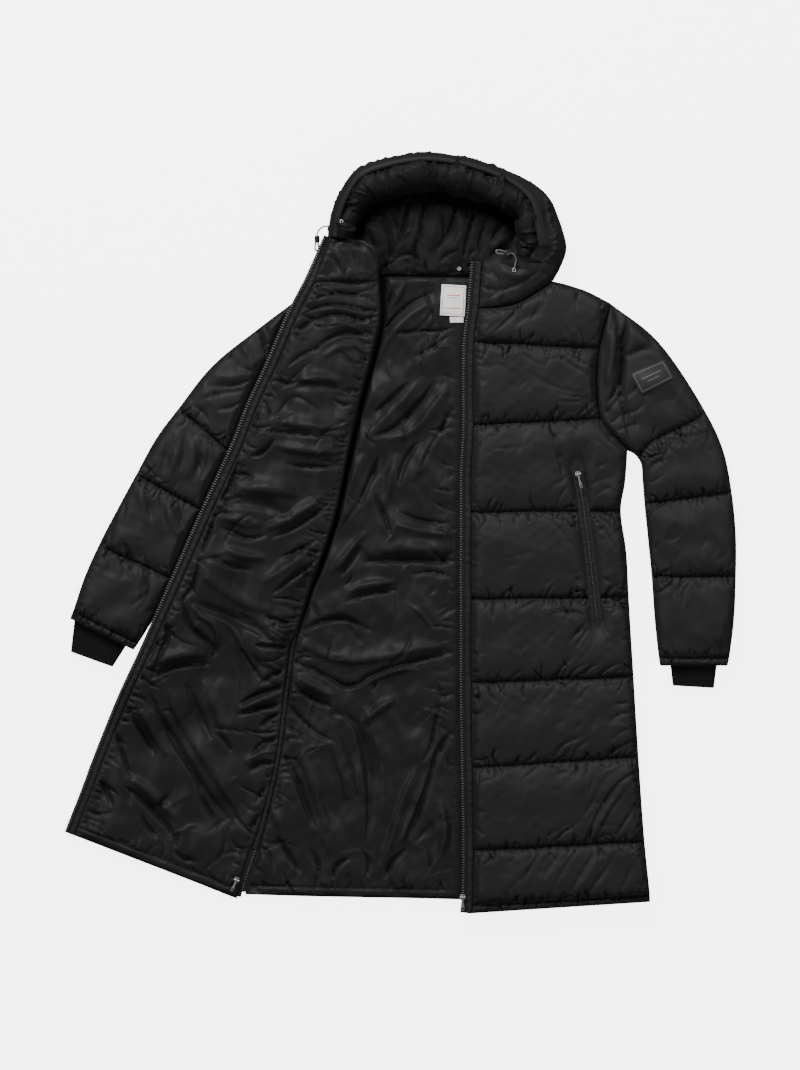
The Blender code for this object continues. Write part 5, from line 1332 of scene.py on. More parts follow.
print("hood")
hoodLook = {
    "stations": 330, "shellPoints": 100,
    "tunnel": 0.385, "tunnelDepth": 1.6, "outerFrom": 0.10,     # shares of the way round the section
    "shellPuckers": puckerLook((4, 14), (6, 44), (1.8, 3.4), (1.4, 4.0), 24),
    "tunnelPuckers": puckerLook((4, 12), (4, 11), (1.4, 2.4), (1.0, 2.2), 24),
    "small": {"length": (12, 44), "width": (2.0, 4.0), "height": (0.6, 2.2)},
    "rollPuckers": puckerLook((6, 18), (10, 46), (2.0, 3.4), (2.6, 6.8), 34),
    "rollSmall": {"length": (12, 44), "width": (2.0, 3.8), "height": (1.6, 5.0)},
    "puffs": 1.9, "puffSize": 42.0,
    "highest": 77.0, "settle": 0.55,       # the roll settles by this share of what stands above
    "backWidth": 420.0, "backDepth": 165.0, "backPad": 4.0,
    "sink": 17.0, "sinkAt": 34.0, "sinkWidth": 18.0,     # the back panel drops at the rim's foot
}
hoodLine = byLength(hoodStations, np.linspace(0, 1, 33))[:, :2]


def shellSection(lean, height, _):
    # The hood's wall about its rim: out from the floor, up to the rim, back inside.
    return [(hoodFloor, 0), (7, 0), (0, 0.24 * height), (0.1 * lean + 1, 0.55 * height),
            (0.6 * lean + 4, 0.84 * height), (lean + 8, height - 1), (lean + 14, height),
            (lean + 16, height - 4), (lean + 16, height - 14), (lean + hoodWall, height - 17),
            (0.5 * lean + hoodWall + 1, 0.6 * height), (hoodWall, 0.32 * height),
            (hoodWall + 4, 11), (hoodFloor, 9), (hoodFloor, 0)]


def facingSection(lean, height, roll):
    # The padded roll inside the rim.
    edge = lean + 16 + gap
    return [(edge, height - 14), (edge, height - 5), (edge + 0.2 * roll, height + 2),
            (edge + 0.5 * roll, height + 4), (edge + 0.85 * roll, height - 2), (edge + roll, height - 12),
            (edge + 0.8 * roll, height - 20), (edge + 0.35 * roll, height - 19), (edge, height - 14)]


def sweptSurface(section, count, corners):
    # The section carried along the outline, standing square to it: a grid with
    # one row for each station, its last column on its first.
    stations = byLength(hoodStations, np.linspace(0, 1, hoodLook["stations"]))
    line = stations[:, :2]
    tangent = unitOf(np.gradient(line, axis=0))
    inward = np.stack([tangent[:, 1], -tangent[:, 0]], 1)
    fractions = np.linspace(0, 1, count)
    profile = np.stack([byLength(section(*row), fractions, corners) for row in stations[:, 2:]])
    flat = line[:, None] + inward[:, None] * profile[..., :1]
    return np.concatenate([flat, profile[..., 1:]], -1)


def closeSweep(name, surface, material):
    rows, columns = surface.shape[0], surface.shape[1] - 1
    ring = surface[:, :-1]
    caps = [np.arange(columns), np.arange(columns)[::-1] + (rows - 1) * columns]
    return addPiece(name, [(ring, gridQuads(rows, columns, wrap=True), caps)], material, sharp=60)


def liftedAlongNormal(surface, lift):
    # Each point moved out along the surface's own normal.
    ahead, beside = np.gradient(surface, axis=0), np.gradient(surface, axis=1)
    return surface + unitOf(np.cross(ahead, beside), 1e-9) * lift[..., None]


def sectionRuns(surface):
    # Millimetres run along the outline and round the section, at every point.
    middle = surface.mean(1)
    roundRun = np.linalg.norm(np.diff(surface, axis=1), axis=2)
    roundRun = np.hstack([np.zeros((len(surface), 1)), np.cumsum(roundRun, axis=1)])
    return runLengths(middle)[:, None] * np.ones(surface.shape[:2]), roundRun


def heldEnds(rows):
    # 0 at both ends of the hood, where it is sewn on, and 1 from five rows in.
    return np.clip(np.minimum(np.arange(rows), np.arange(rows)[::-1])[:, None] / 5, 0, 1)


def hoodShellLift(surface):
    # Creases on the hood's outside: they leave the tunnel's stitching and its
    # ends, over a soft wave.
    look = hoodLook
    run, roundRun = sectionRuns(surface)
    rows, columns = surface.shape[:2]
    share = np.linspace(0, 1, columns)[None]
    tunnel = int(look["tunnel"] * (columns - 1))
    stitching = np.column_stack([run[:, tunnel], roundRun[:, tunnel]])
    low = int(look["outerFrom"] * (columns - 1))
    creases = puckersAlong(stitching, -1, look["shellPuckers"], 41) \
        + puckersAlong(stitching, 1, look["tunnelPuckers"], 42) \
        + scatteredCreases(110, (0, roundRun[:, low].min(), run.max(), roundRun[:, tunnel].max()), 90, 28,
                           look["small"], 43)
    outside = 0.14 * np.clip((share - look["outerFrom"]) / 0.1, 0, 1) + 0.86 * easeStep((share - 0.31) / 0.07)
    outside = outside * np.clip((0.46 - share) / 0.02, 0, 1)
    groove = look["tunnelDepth"] * np.exp(-(np.abs(share - look["tunnel"]) / 0.008) ** 1.4)
    lift = creaseHeight(run, roundRun, creases) + undulation(run, roundRun, 60.0, 1.2, 44)
    return (lift - groove) * outside * heldEnds(rows)


def makeHoodShell():
    surface = sweptSurface(shellSection, hoodLook["shellPoints"], [1, 6, 8, 9, 13])
    surface = liftedAlongNormal(surface, hoodShellLift(surface))
    surface[..., 2] = np.maximum(surface[..., 2], 0)
    made = closeSweep("hoodShell", surface, polyesterShell)
    capped(made, "shell", "hood_shell")


def makeHoodFacing():
    surface = sweptSurface(facingSection, 64, [1])
    rows, columns = surface.shape[:2]
    run, roundRun = sectionRuns(surface)
    look = hoodLook
    share = np.linspace(0, 1, columns)[None] * np.ones((rows, 1))
    seam = np.column_stack([run[:, 0], roundRun[:, 0] + 2.0])
    creases = puckersAlong(seam, 1, look["rollPuckers"], 45)
    creases += scatteredCreases(80, (0, 0, run.max(), roundRun.max()), 90, 30, look["rollSmall"], 46)
    puffs = look["puffs"] * waviness(run, roundRun * 0.4, look["puffSize"], 47)
    held = np.clip(np.minimum(share, 1 - share) / 0.06, 0, 1)
    lift = (creaseHeight(run, roundRun, creases) + puffs) * held * heldEnds(rows)
    surface = liftedAlongNormal(surface, lift)
    surface[..., 2] -= look["settle"] * np.maximum(surface[..., 2] - look["highest"], 0)
    # The darker copy of the lining, painted shade for the hood's cavity
    made = closeSweep("hoodFacing", surface, hoodPaintedShadeTaffeta)
    capped(made, "lining", "hood_facing")


makeHoodShell()
makeHoodFacing()

hoodCreases = creaseTable([
    (3.4, -7.6, 0.3, 1, 12, 548, 4, 510, -6, 470),
    (7.6, 5.4, 0, 0, 26, 531, 24, 501, 14, 462),
    (3.0, -6.6, 0.2, 1, 40, 550, 34, 512, 37, 482),
    (3.4, -6.0, 0.2, 0, 30, 489, 24, 468, 30, 436),
    (9.0, 5.4, 0, 0, 60, 536, 56, 501, 49, 466),
    (3.4, -7.8, 0.3, 1, 92, 544, 82, 506, 60, 468),
    (2.8, -5.4, 0.2, 0, 66, 534, 72, 505, 70, 484),
    (6.8, 4.2, 0, 0, 103, 528, 98, 495, 84, 462),
    (3.2, -6.6, 0.2, 1, 122, 530, 112, 496, 104, 455),
    (3.0, -5.4, 0, 0, 142, 516, 131, 485, 132, 455),
    (2.9, -5.4, 0, 0, -22, 538, -6, 508, -2, 484),
    (2.9, -4.6, 0, 0, -12, 452, 14, 462, 36, 450),
    (2.9, -4.6, 0, 0, 62, 446, 78, 461, 96, 468),
    (13.0, 6.4, 0, 0, -84, 508, -62, 509, -36, 492, -26, 460),
    (4.4, -6.6, 0.2, 0, -34, 524, -17, 494, -16, 452),
    (3.4, -5.0, 0, 0, -72, 536, -48, 534, -24, 520),
    (3.4, -4.6, 0, 0, 150, 480, 160, 500, 176, 512),
    (3.4, -4.6, 0, 0, 146, 456, 164, 468, 186, 470),
    (8.0, 4.0, 0, 0, 152, 468, 168, 484, 184, 490),
])
rightCollarCreases = creaseTable([
    (3.6, -4.7, 0.2, 0, -113, 473, -97, 485, -73, 480, -57, 465),
    (4.0, -4.7, 0.2, 0, -80, 481, -57, 473, -47, 458, -44, 438),
    (9.0, 5.6, 0, 0, -100, 491, -70, 491, -40, 475, -29, 448),
    (3.4, -4.0, 0, 0, -115, 462, -106, 448, -100, 432),
    (3.4, -4.0, 0, 0, -100, 468, -93, 452, -83, 435),
    (3.4, -3.6, 0, 0, -83, 465, -73, 448, -70, 432),
    (6.0, 4.0, 0, 0, -106, 468, -98, 450, -90, 432),
    (3.4, -3.2, 0, 0, -64, 448, -67, 435, -64, 422),
])
leftCollarCreases = creaseTable([
    (4.0, -4.0, 0.2, 0, 143, 386, 164, 399, 197, 412, 232, 435),
    (3.6, -3.6, 0, 0, 148, 435, 161, 419, 164, 396),
    (3.6, -3.6, 0, 0, 164, 448, 184, 438, 207, 435),
    (8.0, 4.0, 0, 0, 164, 435, 187, 425, 214, 425),
    (3.6, -3.6, 0, 0, 134, 410, 151, 402, 171, 405),
    (3.6, -3.2, 0, 0, 205, 448, 227, 448, 250, 455),
    (3.4, -2.9, 0, 0, 158, 386, 172, 376, 184, 379),
])


def makeHoodBack():
    seam = sideways(hoodLine, hoodFloor + 2 * gap, -1)
    look = hoodLook
    u = np.linspace(0, 1, int(look["backWidth"] / gridStep))
    top = byLength(seam, u)
    base = byLength([(-90, 424.5), (-35, 425.7), (32, 426.6), (118, 425.6), (236, 420)], u)
    grid = stretchedGrid(base, top, u, np.linspace(0, 1, int(look["backDepth"] / gridStep)))
    x, y = grid[..., 0], grid[..., 1]
    fromLeft, fromRight = across(grid)
    first, last = down(grid)
    creases = hoodCreases + scatteredCreases(34, (-80, 440, 190, 560), 70, 45, look["rollSmall"], 48)
    creases += puckersAlong(grid[0, :, :2], 1, look["rollPuckers"], 49)
    lift = creaseHeight(x, y, creases) + undulation(x, y, 55.0, 1.4, 50)
    pad = backHeight + look["backPad"] + lift * edgeFade(grid, 5.0)
    pad = pad - look["sink"] * np.exp(-(np.maximum(0, last - look["sinkAt"]) / look["sinkWidth"]) ** 2)
    edges = edgeBulge(fromLeft, 12) * edgeBulge(fromRight, 12) * edgeBulge(last, 8) * edgeBulge(first, 9)
    high = np.maximum(bellyHeight - 4 + (pad - bellyHeight + 4) * edges, 1.5)
    # The darker copy of the lining, painted shade for the hood's cavity
    made = paddedPiece("hoodBack", np.dstack([grid, high]), 0.0, floorInset, hoodPaintedShadeTaffeta)
    capped(made, "lining", "hood_back")


makeHoodBack()

# Collars

print("collars and edges")
collarLook = {
    "puckers": puckerLook((5, 14), (6, 26), (1.6, 3.0), (1.4, 3.6), 26),
    "waves": 1.2, "waveSize": 45.0,
}


def collarLift(grid, creases, seed):
    # A collar's creases from its table, puckers off two of its edges, a soft wave.
    x, y = grid[..., 0], grid[..., 1]
    for line, step in ((grid[-1, :, :2], 0), (grid[:, 0, :2], 1)):
        creases = creases + puckersAlong(line, 1, collarLook["puckers"], seed + step)
    return creaseHeight(x, y, creases) + undulation(x, y, collarLook["waveSize"], collarLook["waves"], seed)


def makeCollarRight():
    base = backHeight + 5 + gap
    u = np.linspace(0, 1, int(110 / gridStep))
    cap = sideways(hoodLine[:3], 1, -1)[0] - hoodLine[0]
    shift = np.array([cap[1], -cap[0]]) * 2 * gap
    top = byLength([hoodLine[0] + cap * 2.5 + shift, hoodLine[0] + cap * 56 + shift, (-44, 474), (-33, 459)],
                   u, corners=[1])
    low = np.column_stack([-148 + (148 - 36) * u, 414.0 + 2.5 * np.clip(u * 3, 0, 1)])
    grid = stretchedGrid(top, low, u, np.linspace(0, 1, int(70 / gridStep)))
    fromLeft, fromRight = across(grid)
    first, last = down(grid)
    edges = edgeBulge(fromLeft, 12) * edgeBulge(fromRight, 18) * edgeBulge(last + 2, 10) \
        * edgeBulge(first + 3, 12)
    high = base + edgeRise + (16 + collarLift(grid, rightCollarCreases, 51)) * edges
    made = paddedPiece("collarRight", np.dstack([grid, high]), base, layerInset, taffetaLining)
    capped(made, "lining", "collar_right")


def makeCollarLeft():
    u = np.linspace(0, 1, int(150 / gridStep))
    rows = np.linspace(0, 1, int(90 / gridStep))
    low = byLength(neckLeft[:shoulderPoint + 1], u) + np.array([0.0, 2 * gap])
    cap = sideways(hoodLine[-3:], 1, -1)[-1] - hoodLine[-1]
    shift = np.array([-cap[1], cap[0]]) * 2 * gap
    top = byLength([(134, 449), (152, 456), (175, 467), hoodLine[-1] + cap * 82 + shift,
                    hoodLine[-1] + shift], u, corners=[3])
    grid = stretchedGrid(top, low, u, rows)
    x = grid[..., 0]
    fromLeft, fromRight = across(grid)
    first, last = down(grid)
    joined = easeStep((x - 165) / 30)
    edges = edgeBulge(fromLeft, 14) * edgeBulge(fromRight + 3, 14) * edgeBulge(last + 1.5, 16) \
        * (joined + (1 - joined) * edgeBulge(first, 14))
    rise = 12 + 22 * easeStep((x - 130) / 70) * (1 - rows[:, None]) ** 0.7
    high = frontLeftBase + edgeRise + (rise + collarLift(grid, leftCollarCreases, 53)) * edges
    made = paddedPiece("collarLeft", np.dstack([grid, high]), frontLeftBase, layerInset, polyesterShell)
    capped(made, "shell", "collar_left")


makeCollarRight()
makeCollarLeft()

# Strips, zips and seams


def stripAlong(line, low, offsets, heights, side):
    # A strip beside a flat line: each point of its section stands its offset
    # off the line and its height over the strip's seat.
    flat = np.stack([sideways(line, offset, side) for offset in offsets], 1)
    low = np.broadcast_to(np.asarray(low, float), (len(line),))
    heights = np.broadcast_to(np.asarray(heights, float), flat.shape[:2])
    return np.concatenate([flat, (low[:, None] + heights)[..., None]], -1)


def boundProfile(width, height, stitches):
    # Section of a bound strip: round at both edges, pressed in at its stitching.
    across = np.linspace(0, width, 15)
    up = height * (0.55 + 0.45 * edgeBulge(np.minimum(across, width - across), 2.4))
    for place in stitches:
        up -= 1.1 * np.exp(-((across - place) / 0.7) ** 2)
    return across, up


placketLook = {
    "height": 9.4, "openHeight": 10.0, "stitches": (2.6, 7.6), "pucker": 0.35,
    "cutShare": 1.9,         # the strip's cloth shows over its top and down both its sides
}
tapeLook = {
    "rib": 0.25,
    "cutShare": 1.45, "leastCut": 10.5,     # cloth in a tape for the width that shows, and at least
}
collarCorner = (134, 449)
frontEdgeLine = evenLine(np.vstack([[collarCorner, (131, 412)], frontEdge[::12], frontEdge[-1:]]), gridStep)
frontEdgeHigh = edgeRise + 5.0
zipTop = (-120, 491)
openEdgeLine = evenLine(np.vstack([[zipTop, (-134, 459)], zipSide[2::12], zipSide[-1:]]), gridStep)
openEdgeLevel = supportHeight(openEdgeLine[:, 0], openEdgeLine[:, 1])


def makePlacket(name, node, line, seat, near, side, height, seed):
    offsets, up = boundProfile(placketWidth - near, height, placketLook["stitches"])
    pucker = placketLook["pucker"] * waviness(line[:, :1], line[:, 1:], 9.0, seed)
    surface = stripAlong(line, seat, offsets + near, up[None] + pucker, side)
    low = np.maximum(np.broadcast_to(np.asarray(seat, float), (len(line),))[:, None] - 0.2, 0)
    made = paddedPiece(name, surface, low, 0.4, polyesterShell, underCount=3, sideSteps=2)
    capped(made, "shell", node)
    return surface


def makeTape(name, node, line, seat, near, far, side, height):
    across = np.linspace(near, far, 13)
    ribs = tapeLook["rib"] * np.abs(np.sin(np.linspace(0, 4 * math.pi, 13)))
    surface = stripAlong(line, seat, across, height + ribs[None], side)
    low = np.broadcast_to(np.asarray(seat, float), (len(line),))[:, None]
    made = paddedPiece(name, surface, low, 0.2, zipTape, underCount=2, sideSteps=2)
    capped(made, "zip_tape", node)


leftPlacket = makePlacket("placketLeft", "placket_left", frontEdgeLine, frontLeftBase, -1.2, -1,
                          placketLook["height"], 61)
rightPlacket = makePlacket("placketRight", "placket_right", openEdgeLine, openEdgeLevel, 0.2, 1,
                           placketLook["openHeight"], 62)
makeTape("zipTapeLeft", "zip_tape_left", frontEdgeLine, backHeight + gap + 2.0, placketWidth - 0.3,
         placketWidth + 8.0, -1, frontEdgeHigh - 3.6)
makeTape("zipTapeRight", "zip_tape_right", openEdgeLine, openEdgeLevel + 2.5, -6.5, 0.6, 1, 5.4)


def framesAlong(line):
    # Unit directions along a 3-D line, across it and up from it.
    along = unitOf(np.gradient(line, axis=0))
    beside = unitOf(np.cross(np.broadcast_to([0.0, 0.0, 1.0], along.shape), along))
    return along, beside, np.cross(along, beside)


def spotsAlong(line, pitch):
    # Points at even pitch along a 3-D line, from half a pitch in.
    line = np.asarray(line, float)
    run = runLengths(line)
    at = np.arange(pitch / 2, run[-1], pitch)
    return np.stack([np.interp(at, run, line[:, k]) for k in range(3)], 1)


def blockRow(line, pitch, layers):
    # The same little block set at every pitch along a line. Its layers, from
    # the bottom up, are (half length, half width, height, shift along the width).
    spots = spotsAlong(line, pitch)
    along, beside, up = framesAlong(spots)
    corner = np.array([(-1, -1), (1, -1), (1, 1), (-1, 1)], float)
    shape = np.concatenate([np.column_stack([corner[:, 0] * a, corner[:, 1] * b + move, np.full(4, z)])
                            for a, b, z, move in layers])
    points = spots[:, None] + shape[None, :, :1] * along[:, None] + shape[None, :, 1:2] * beside[:, None] \
        + shape[None, :, 2:] * up[:, None]
    size, rows = len(shape), len(layers)
    quads = np.vstack([gridQuads(rows, 4, wrap=True), [[0, 1, 2, 3]],
                       [[size - 1, size - 2, size - 3, size - 4]]])
    first = turnedOut(points[0], quads, [])[1]
    every = (first[None] + size * np.arange(len(spots))[:, None, None]).reshape(-1, 4)
    return points.reshape(-1, 3), every


def makeBlocks(name, rows, material, slot):
    # All rows of one piece joined into a mesh, each block already closed.
    points, quads, start = [], [], 0
    for rowPoints, rowQuads in rows:
        points.append(rowPoints)
        quads.append(rowQuads + start)
        start += len(rowPoints)
    points, quads = np.vstack(points), np.vstack(quads)
    points[:, :2] -= draftShift
    mesh = bpy.data.meshes.new(name)
    mesh.from_pydata(points * mm, [], quads)
    mesh.materials.append(material)
    dress(linkObject(bpy.data.objects.new(name, mesh)), "coat", slot)


# Teeth and their pitch; the layers of a tooth as blockRow takes them
toothPitch, smallPitch = 4.2, 3.6
toothLayers = [(0.4, 1.6, -0.9, 0.0), (0.5, 2.0, 0.2, 0.0), (0.45, 1.8, 1.0, 0.1), (0.3, 1.3, 1.5, 0.2)]
openTooth = [(0.5, 2.0, -0.9, 0.0), (0.65, 2.4, 0.4, 0.0), (0.55, 2.2, 1.3, 0.1), (0.35, 1.7, 1.8, 0.2)]
ventTooth = [(0.45, 0.6, -0.4, 0.0), (0.55, 0.75, 0.2, 0.0), (0.3, 0.5, 0.7, 0.1)]
smallTooth = [(0.5, 1.0, -0.4, 0.0), (0.65, 1.2, 0.4, 0.0), (0.35, 0.9, 1.0, 0.0)]


def liftedLine(line, offset, side, level):
    flat = sideways(line, offset, side)
    return np.column_stack([flat, np.broadcast_to(np.asarray(level, float), (len(line),))])


frontTeeth = liftedLine(frontEdgeLine, placketWidth + 6.0, -1, frontLeftBase + frontEdgeHigh - 1.2)
openTeeth = liftedLine(openEdgeLine, -4.9, 1, openEdgeLevel + 8.6)
makeBlocks("frontZipTeeth", [blockRow(frontTeeth, toothPitch, toothLayers)], gunmetalTeeth, "zip_metal")
makeBlocks("openZipTeeth", [blockRow(openTeeth, toothPitch, openTooth)], gunmetalTeeth, "zip_metal")

def sideX(edge, y):
    return np.interp(y, edge[::-1, 1], edge[::-1, 0])


def makeSideSeam():
    # Corded, from the underarm to the vent.
    y = np.linspace(sideSeam["from"], sideSeam["to"], int(370 / gridStep))
    left, right = sideX(openSide, y), sideX(backSide, y)
    middle, half = (left + right) / 2, (right - left) / 2 - sideSeam["reach"] + sideSeam["overlap"]
    half = np.maximum(half, 3.0) * (0.75 + 0.25 * easeStep((sideSeam["from"] - y) / 25))
    u = np.linspace(-1, 1, 13)
    grid = np.stack([middle[:, None] + half[:, None] * u, np.broadcast_to(y[:, None], (len(y), 13))], -1)
    high = sideSeam["base"] + (sideSeam["height"] - sideSeam["base"]) * np.sqrt(1 - u ** 2)[None] \
        + 0.4 * waviness(grid[..., 0], grid[..., 1], 12.0, 71)
    made = paddedPiece("sidePiping", np.dstack([grid, high]), 0.2, 1.0, taffetaLining, underCount=3,
                       sideSteps=2)
    capped(made, "lining", "side_piping_right")


makeSideSeam()
ventStart = -514           # y where the vent's teeth begin
ventTeeth = {"height": 8.6, "pitch": 4.4, "off": 0.9, "stagger": 1.1}


def makeVentTape(name, node, edge, other, end, side):
    # From under its panel's edge almost to the middle of the opening.
    y = np.linspace(ventStart, end, 40)
    near, far = sideX(edge, y), sideX(other, y)
    middle = (near + far) / 2 + side * 0.5
    near = near - side * 1.5
    u = np.linspace(0, 1, 13)
    grid = ruledGrid(np.column_stack([near, y]), np.column_stack([middle, y]), u)
    ribs = tapeLook["rib"] * np.abs(np.sin(u * 4 * math.pi))
    high = ventTeeth["height"] - 1.2 * u[None] + ribs[None] + 0 * y[:, None]
    made = paddedPiece(name, np.dstack([grid, high]), 2.0, 0.2, zipTape, underCount=2, sideSteps=2)
    capped(made, "zip_tape", node)
    shifted = y - (ventTeeth["stagger"] if side > 0 else 0)
    line = np.column_stack([middle - side * ventTeeth["off"], shifted, np.full(len(y), ventTeeth["height"])])
    return blockRow(line, ventTeeth["pitch"], ventTooth)


makeBlocks("ventZipTeeth", [makeVentTape("ventTapeFront", "vent_tape_front", openSide, backSide, -600, 1),
                            makeVentTape("ventTapeBack", "vent_tape_back", backSide, openSide, -592, -1)],
           gunmetalTeeth, "zip_metal")

# Pocket

print("pocket, labels and fittings")


def restHeight(x, y, reach, name):
    # Highest point of this piece within a small reach of each place.
    graph = bpy.context.evaluated_depsgraph_get()
    graph.update()
    x, y = np.broadcast_arrays(np.asarray(x, float), np.asarray(y, float))
    highest = np.zeros(x.shape)
    spots = [(0, 0)] + [(reach * math.cos(a), reach * math.sin(a)) for a in np.linspace(0, math.tau, 9)[:-1]]
    made = bpy.data.objects[name]
    for index in np.ndindex(x.shape):
        for dx, dy in spots:
            start = ((x[index] + dx - draftShift[0]) * mm, (y[index] + dy - draftShift[1]) * mm, 1.0)
            hit, place, _, _ = made.ray_cast(Vector(start), Vector((0, 0, -1)))
            if hit:
                highest[index] = max(highest[index], place.z / mm)
    return highest


weltHalf = [
    # half the welt's section from its middle out: offset and height
    (0, 0.7), (1.5, 0.7), (2.8, 1.0), (3.4, 2.3), (4.5, 2.6), (6, 2.4), (7.5, 1.5), (9, 2.2), (10, 1.4),
    (10.5, 0.3),
]


def makePocket():
    line = evenLine(pocketLine, gridStep)
    coarse = line[::6]
    level = restHeight(coarse[:, 0], coarse[:, 1], 4.0, "closedFront")
    level = np.interp(runLengths(line), runLengths(line)[::6], level)
    level = np.convolve(np.pad(level, 8, mode="edge"), np.ones(17) / 17, "valid") - 0.6
    section = np.array(weltHalf)
    offsets = np.append(-section[:0:-1, 0], section[:, 0])
    up = np.append(section[:0:-1, 1], section[:, 1])
    pucker = 0.3 * waviness(line[:, :1], line[:, 1:], 9.0, 81)
    surface = stripAlong(line, level, offsets, up[None] + pucker, 1)
    made = paddedPiece("pocketWelt", surface, level[:, None] - 0.5, 0.4, polyesterShell, underCount=4,
                       sideSteps=2)
    capped(made, "shell", "pocket_welt_left")
    return line, level


pocketCentre, pocketLevel = makePocket()
pocketTeeth = liftedLine(pocketCentre, 0.0, 1, pocketLevel + 1.1)[3:-2]
makeBlocks("pocketZipTeeth", [blockRow(pocketTeeth, smallPitch, smallTooth)], blackNickel, "zip_metal")
makeTape("pocketZipTape", "pocket_zip_left", pocketCentre[2:-2], pocketLevel[2:-2] - 0.4, -4.2, 4.2, 1, 1.2)

# Labels


def drapedLabel(name, node, corners, rows, columns, thick, reach, onto, material, size):
    # A small flat piece over what lies under it, its UV map in millimetres.
    p = np.array(corners, float)
    t = np.linspace(0, 1, rows)[:, None]
    grid = ruledGrid(p[0] + (p[3] - p[0]) * t, p[1] + (p[2] - p[1]) * t, np.linspace(0, 1, columns))
    someRows, someColumns = [np.round(np.linspace(0, count - 1, 5)).astype(int) for count in (rows, columns)]
    few = grid[someRows][:, someColumns]
    seat = restHeight(few[..., 0], few[..., 1], reach, onto) + gap
    seat = resampled(seat, rows, columns)
    mapped = np.meshgrid(np.linspace(0, size[0], columns), np.linspace(size[1], 0, rows))
    made = paddedPiece(name, np.dstack([grid, seat + thick]), seat, 0.1, material, underCount=4, sideSteps=1,
                       uv=np.dstack(mapped))
    capped(made, "patch" if "patch" in node else "label", node)


drapedLabel("neckLabel", "neck_label", [(68, 412), (108.5, 410), (106, 359), (65, 361)], 26, 22, 0.8, 5.0,
            "backLining", labelSatin, (40, 50))
drapedLabel("sizeTag", "size_tag", [(81, 358.4), (104, 358), (104, 349), (82, 349)], 8, 14, 0.7, 3.0,
            "backLining", tagSatin, (24, 10))
drapedLabel("sleevePatch", "sleeve_patch", [(379, 264), (433, 287), (451, 257), (397, 229)], 18, 26, 1.2, 6.0,
            "sleeveLeftUpper", patchRubber, (58, 33))

# Fittings


def turned(profile, place, axis=(0, 0, 1), count=32, flutes=0, depth=0.0, closed=False):
    # A profile of (radius, height) turned about an axis through a place, its
    # radius waving round it where it has flutes.
    profile = np.array(profile, float)
    axis = np.array(axis, float) / np.linalg.norm(axis)
    side = np.cross(axis, [0.0, 1.0, 0.0]) if abs(axis[1]) < 0.9 else np.cross(axis, [1.0, 0.0, 0.0])
    side /= np.linalg.norm(side)
    other = np.cross(axis, side)
    angle = np.linspace(0, math.tau, count, endpoint=False)
    radius = profile[:, :1] * (1 - depth * (0.5 + 0.5 * np.cos(flutes * angle))[None])
    spokes = np.cos(angle)[:, None] * side + np.sin(angle)[:, None] * other
    points = np.array(place, float) + radius[..., None] * spokes + profile[:, 1:, None] * axis
    rows = len(profile)
    quads = gridQuads(rows, count, wrap=True, wrapRows=closed)
    caps = [] if closed else [np.arange(count), np.arange(count)[::-1] + (rows - 1) * count]
    return points, quads, caps


def tubeAlong(path, radius, sides=10, braid=2.2):
    # A round cord: a circle carried along a 3-D path. Its UV map counts braid
    # strands round it and braid lengths along it.
    path = np.asarray(path, float)
    _, beside, up = framesAlong(path)
    angle = np.linspace(0, math.tau, sides, endpoint=False)
    spokes = np.cos(angle)[:, None] * beside[:, None] + np.sin(angle)[:, None] * up[:, None]
    points = path[:, None] + radius * spokes
    quads = gridQuads(len(path), sides, wrap=True)
    caps = [np.arange(sides), np.arange(sides)[::-1] + (len(path) - 1) * sides]
    turn, run = np.meshgrid(np.arange(sides) * 4 / sides, runLengths(path) / braid)
    return (points, quads, caps), np.stack([turn, run], -1)


def lowOf(node):
    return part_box(node)[0].z / mm


def highOf(node):
    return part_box(node)[1].z / mm


def centreOf(node):
    low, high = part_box(node)
    return (low.x + high.x) / 2 / mm + draftShift[0], (low.y + high.y) / 2 / mm + draftShift[1]


def makeStud():
    # A turned cap with a small post in its middle.
    low = lowOf("neck_stud")
    profile = [(0.4, -1.5), (3.6, -1.5), (3.9, -0.5), (3.8, 0.6), (3.2, 1.2), (2.7, 1.1), (2.4, 0.6),
               (2.0, 0.5), (1.6, 1.4), (1.3, 2.2), (0.8, 2.5), (0.2, 2.6)]
    shell = turned([(r, z + low + 1.0) for r, z in profile], (*centreOf("neck_stud"), 0))
    capped(addPiece("neckStud", [shell], antiqueNickel, sharp=50), "zip_metal", "neck_stud")


def makeEyelet(side):
    # A rolled ring.
    node = f"eyelet_{side}"
    low = lowOf(node)
    ring = [(1.6, -0.5), (1.5, 0.4), (1.8, 1.1), (2.5, 1.3), (3.2, 0.9), (3.5, 0.2), (3.4, -0.5)]
    shell = turned([(r, z + low) for r, z in ring], (*centreOf(node), 0), closed=True)
    capped(addPiece("eyelet" + side.capitalize(), [shell], antiqueNickel, sharp=60), "zip_metal", node)


makeStud()
makeEyelet("left")
makeEyelet("right")

lockPlaces = {"left": ((176, 462), 172), "right": ((-138, 487), -92)}
lockLook = {
    "length": 12.0, "size": 9.0, "flutes": 12,
    "loopReach": 14.0, "loopHalf": 1.7, "loopBelly": 3.2,    # the cord's loop past the lock's mouth
}
cordSize = 2.6


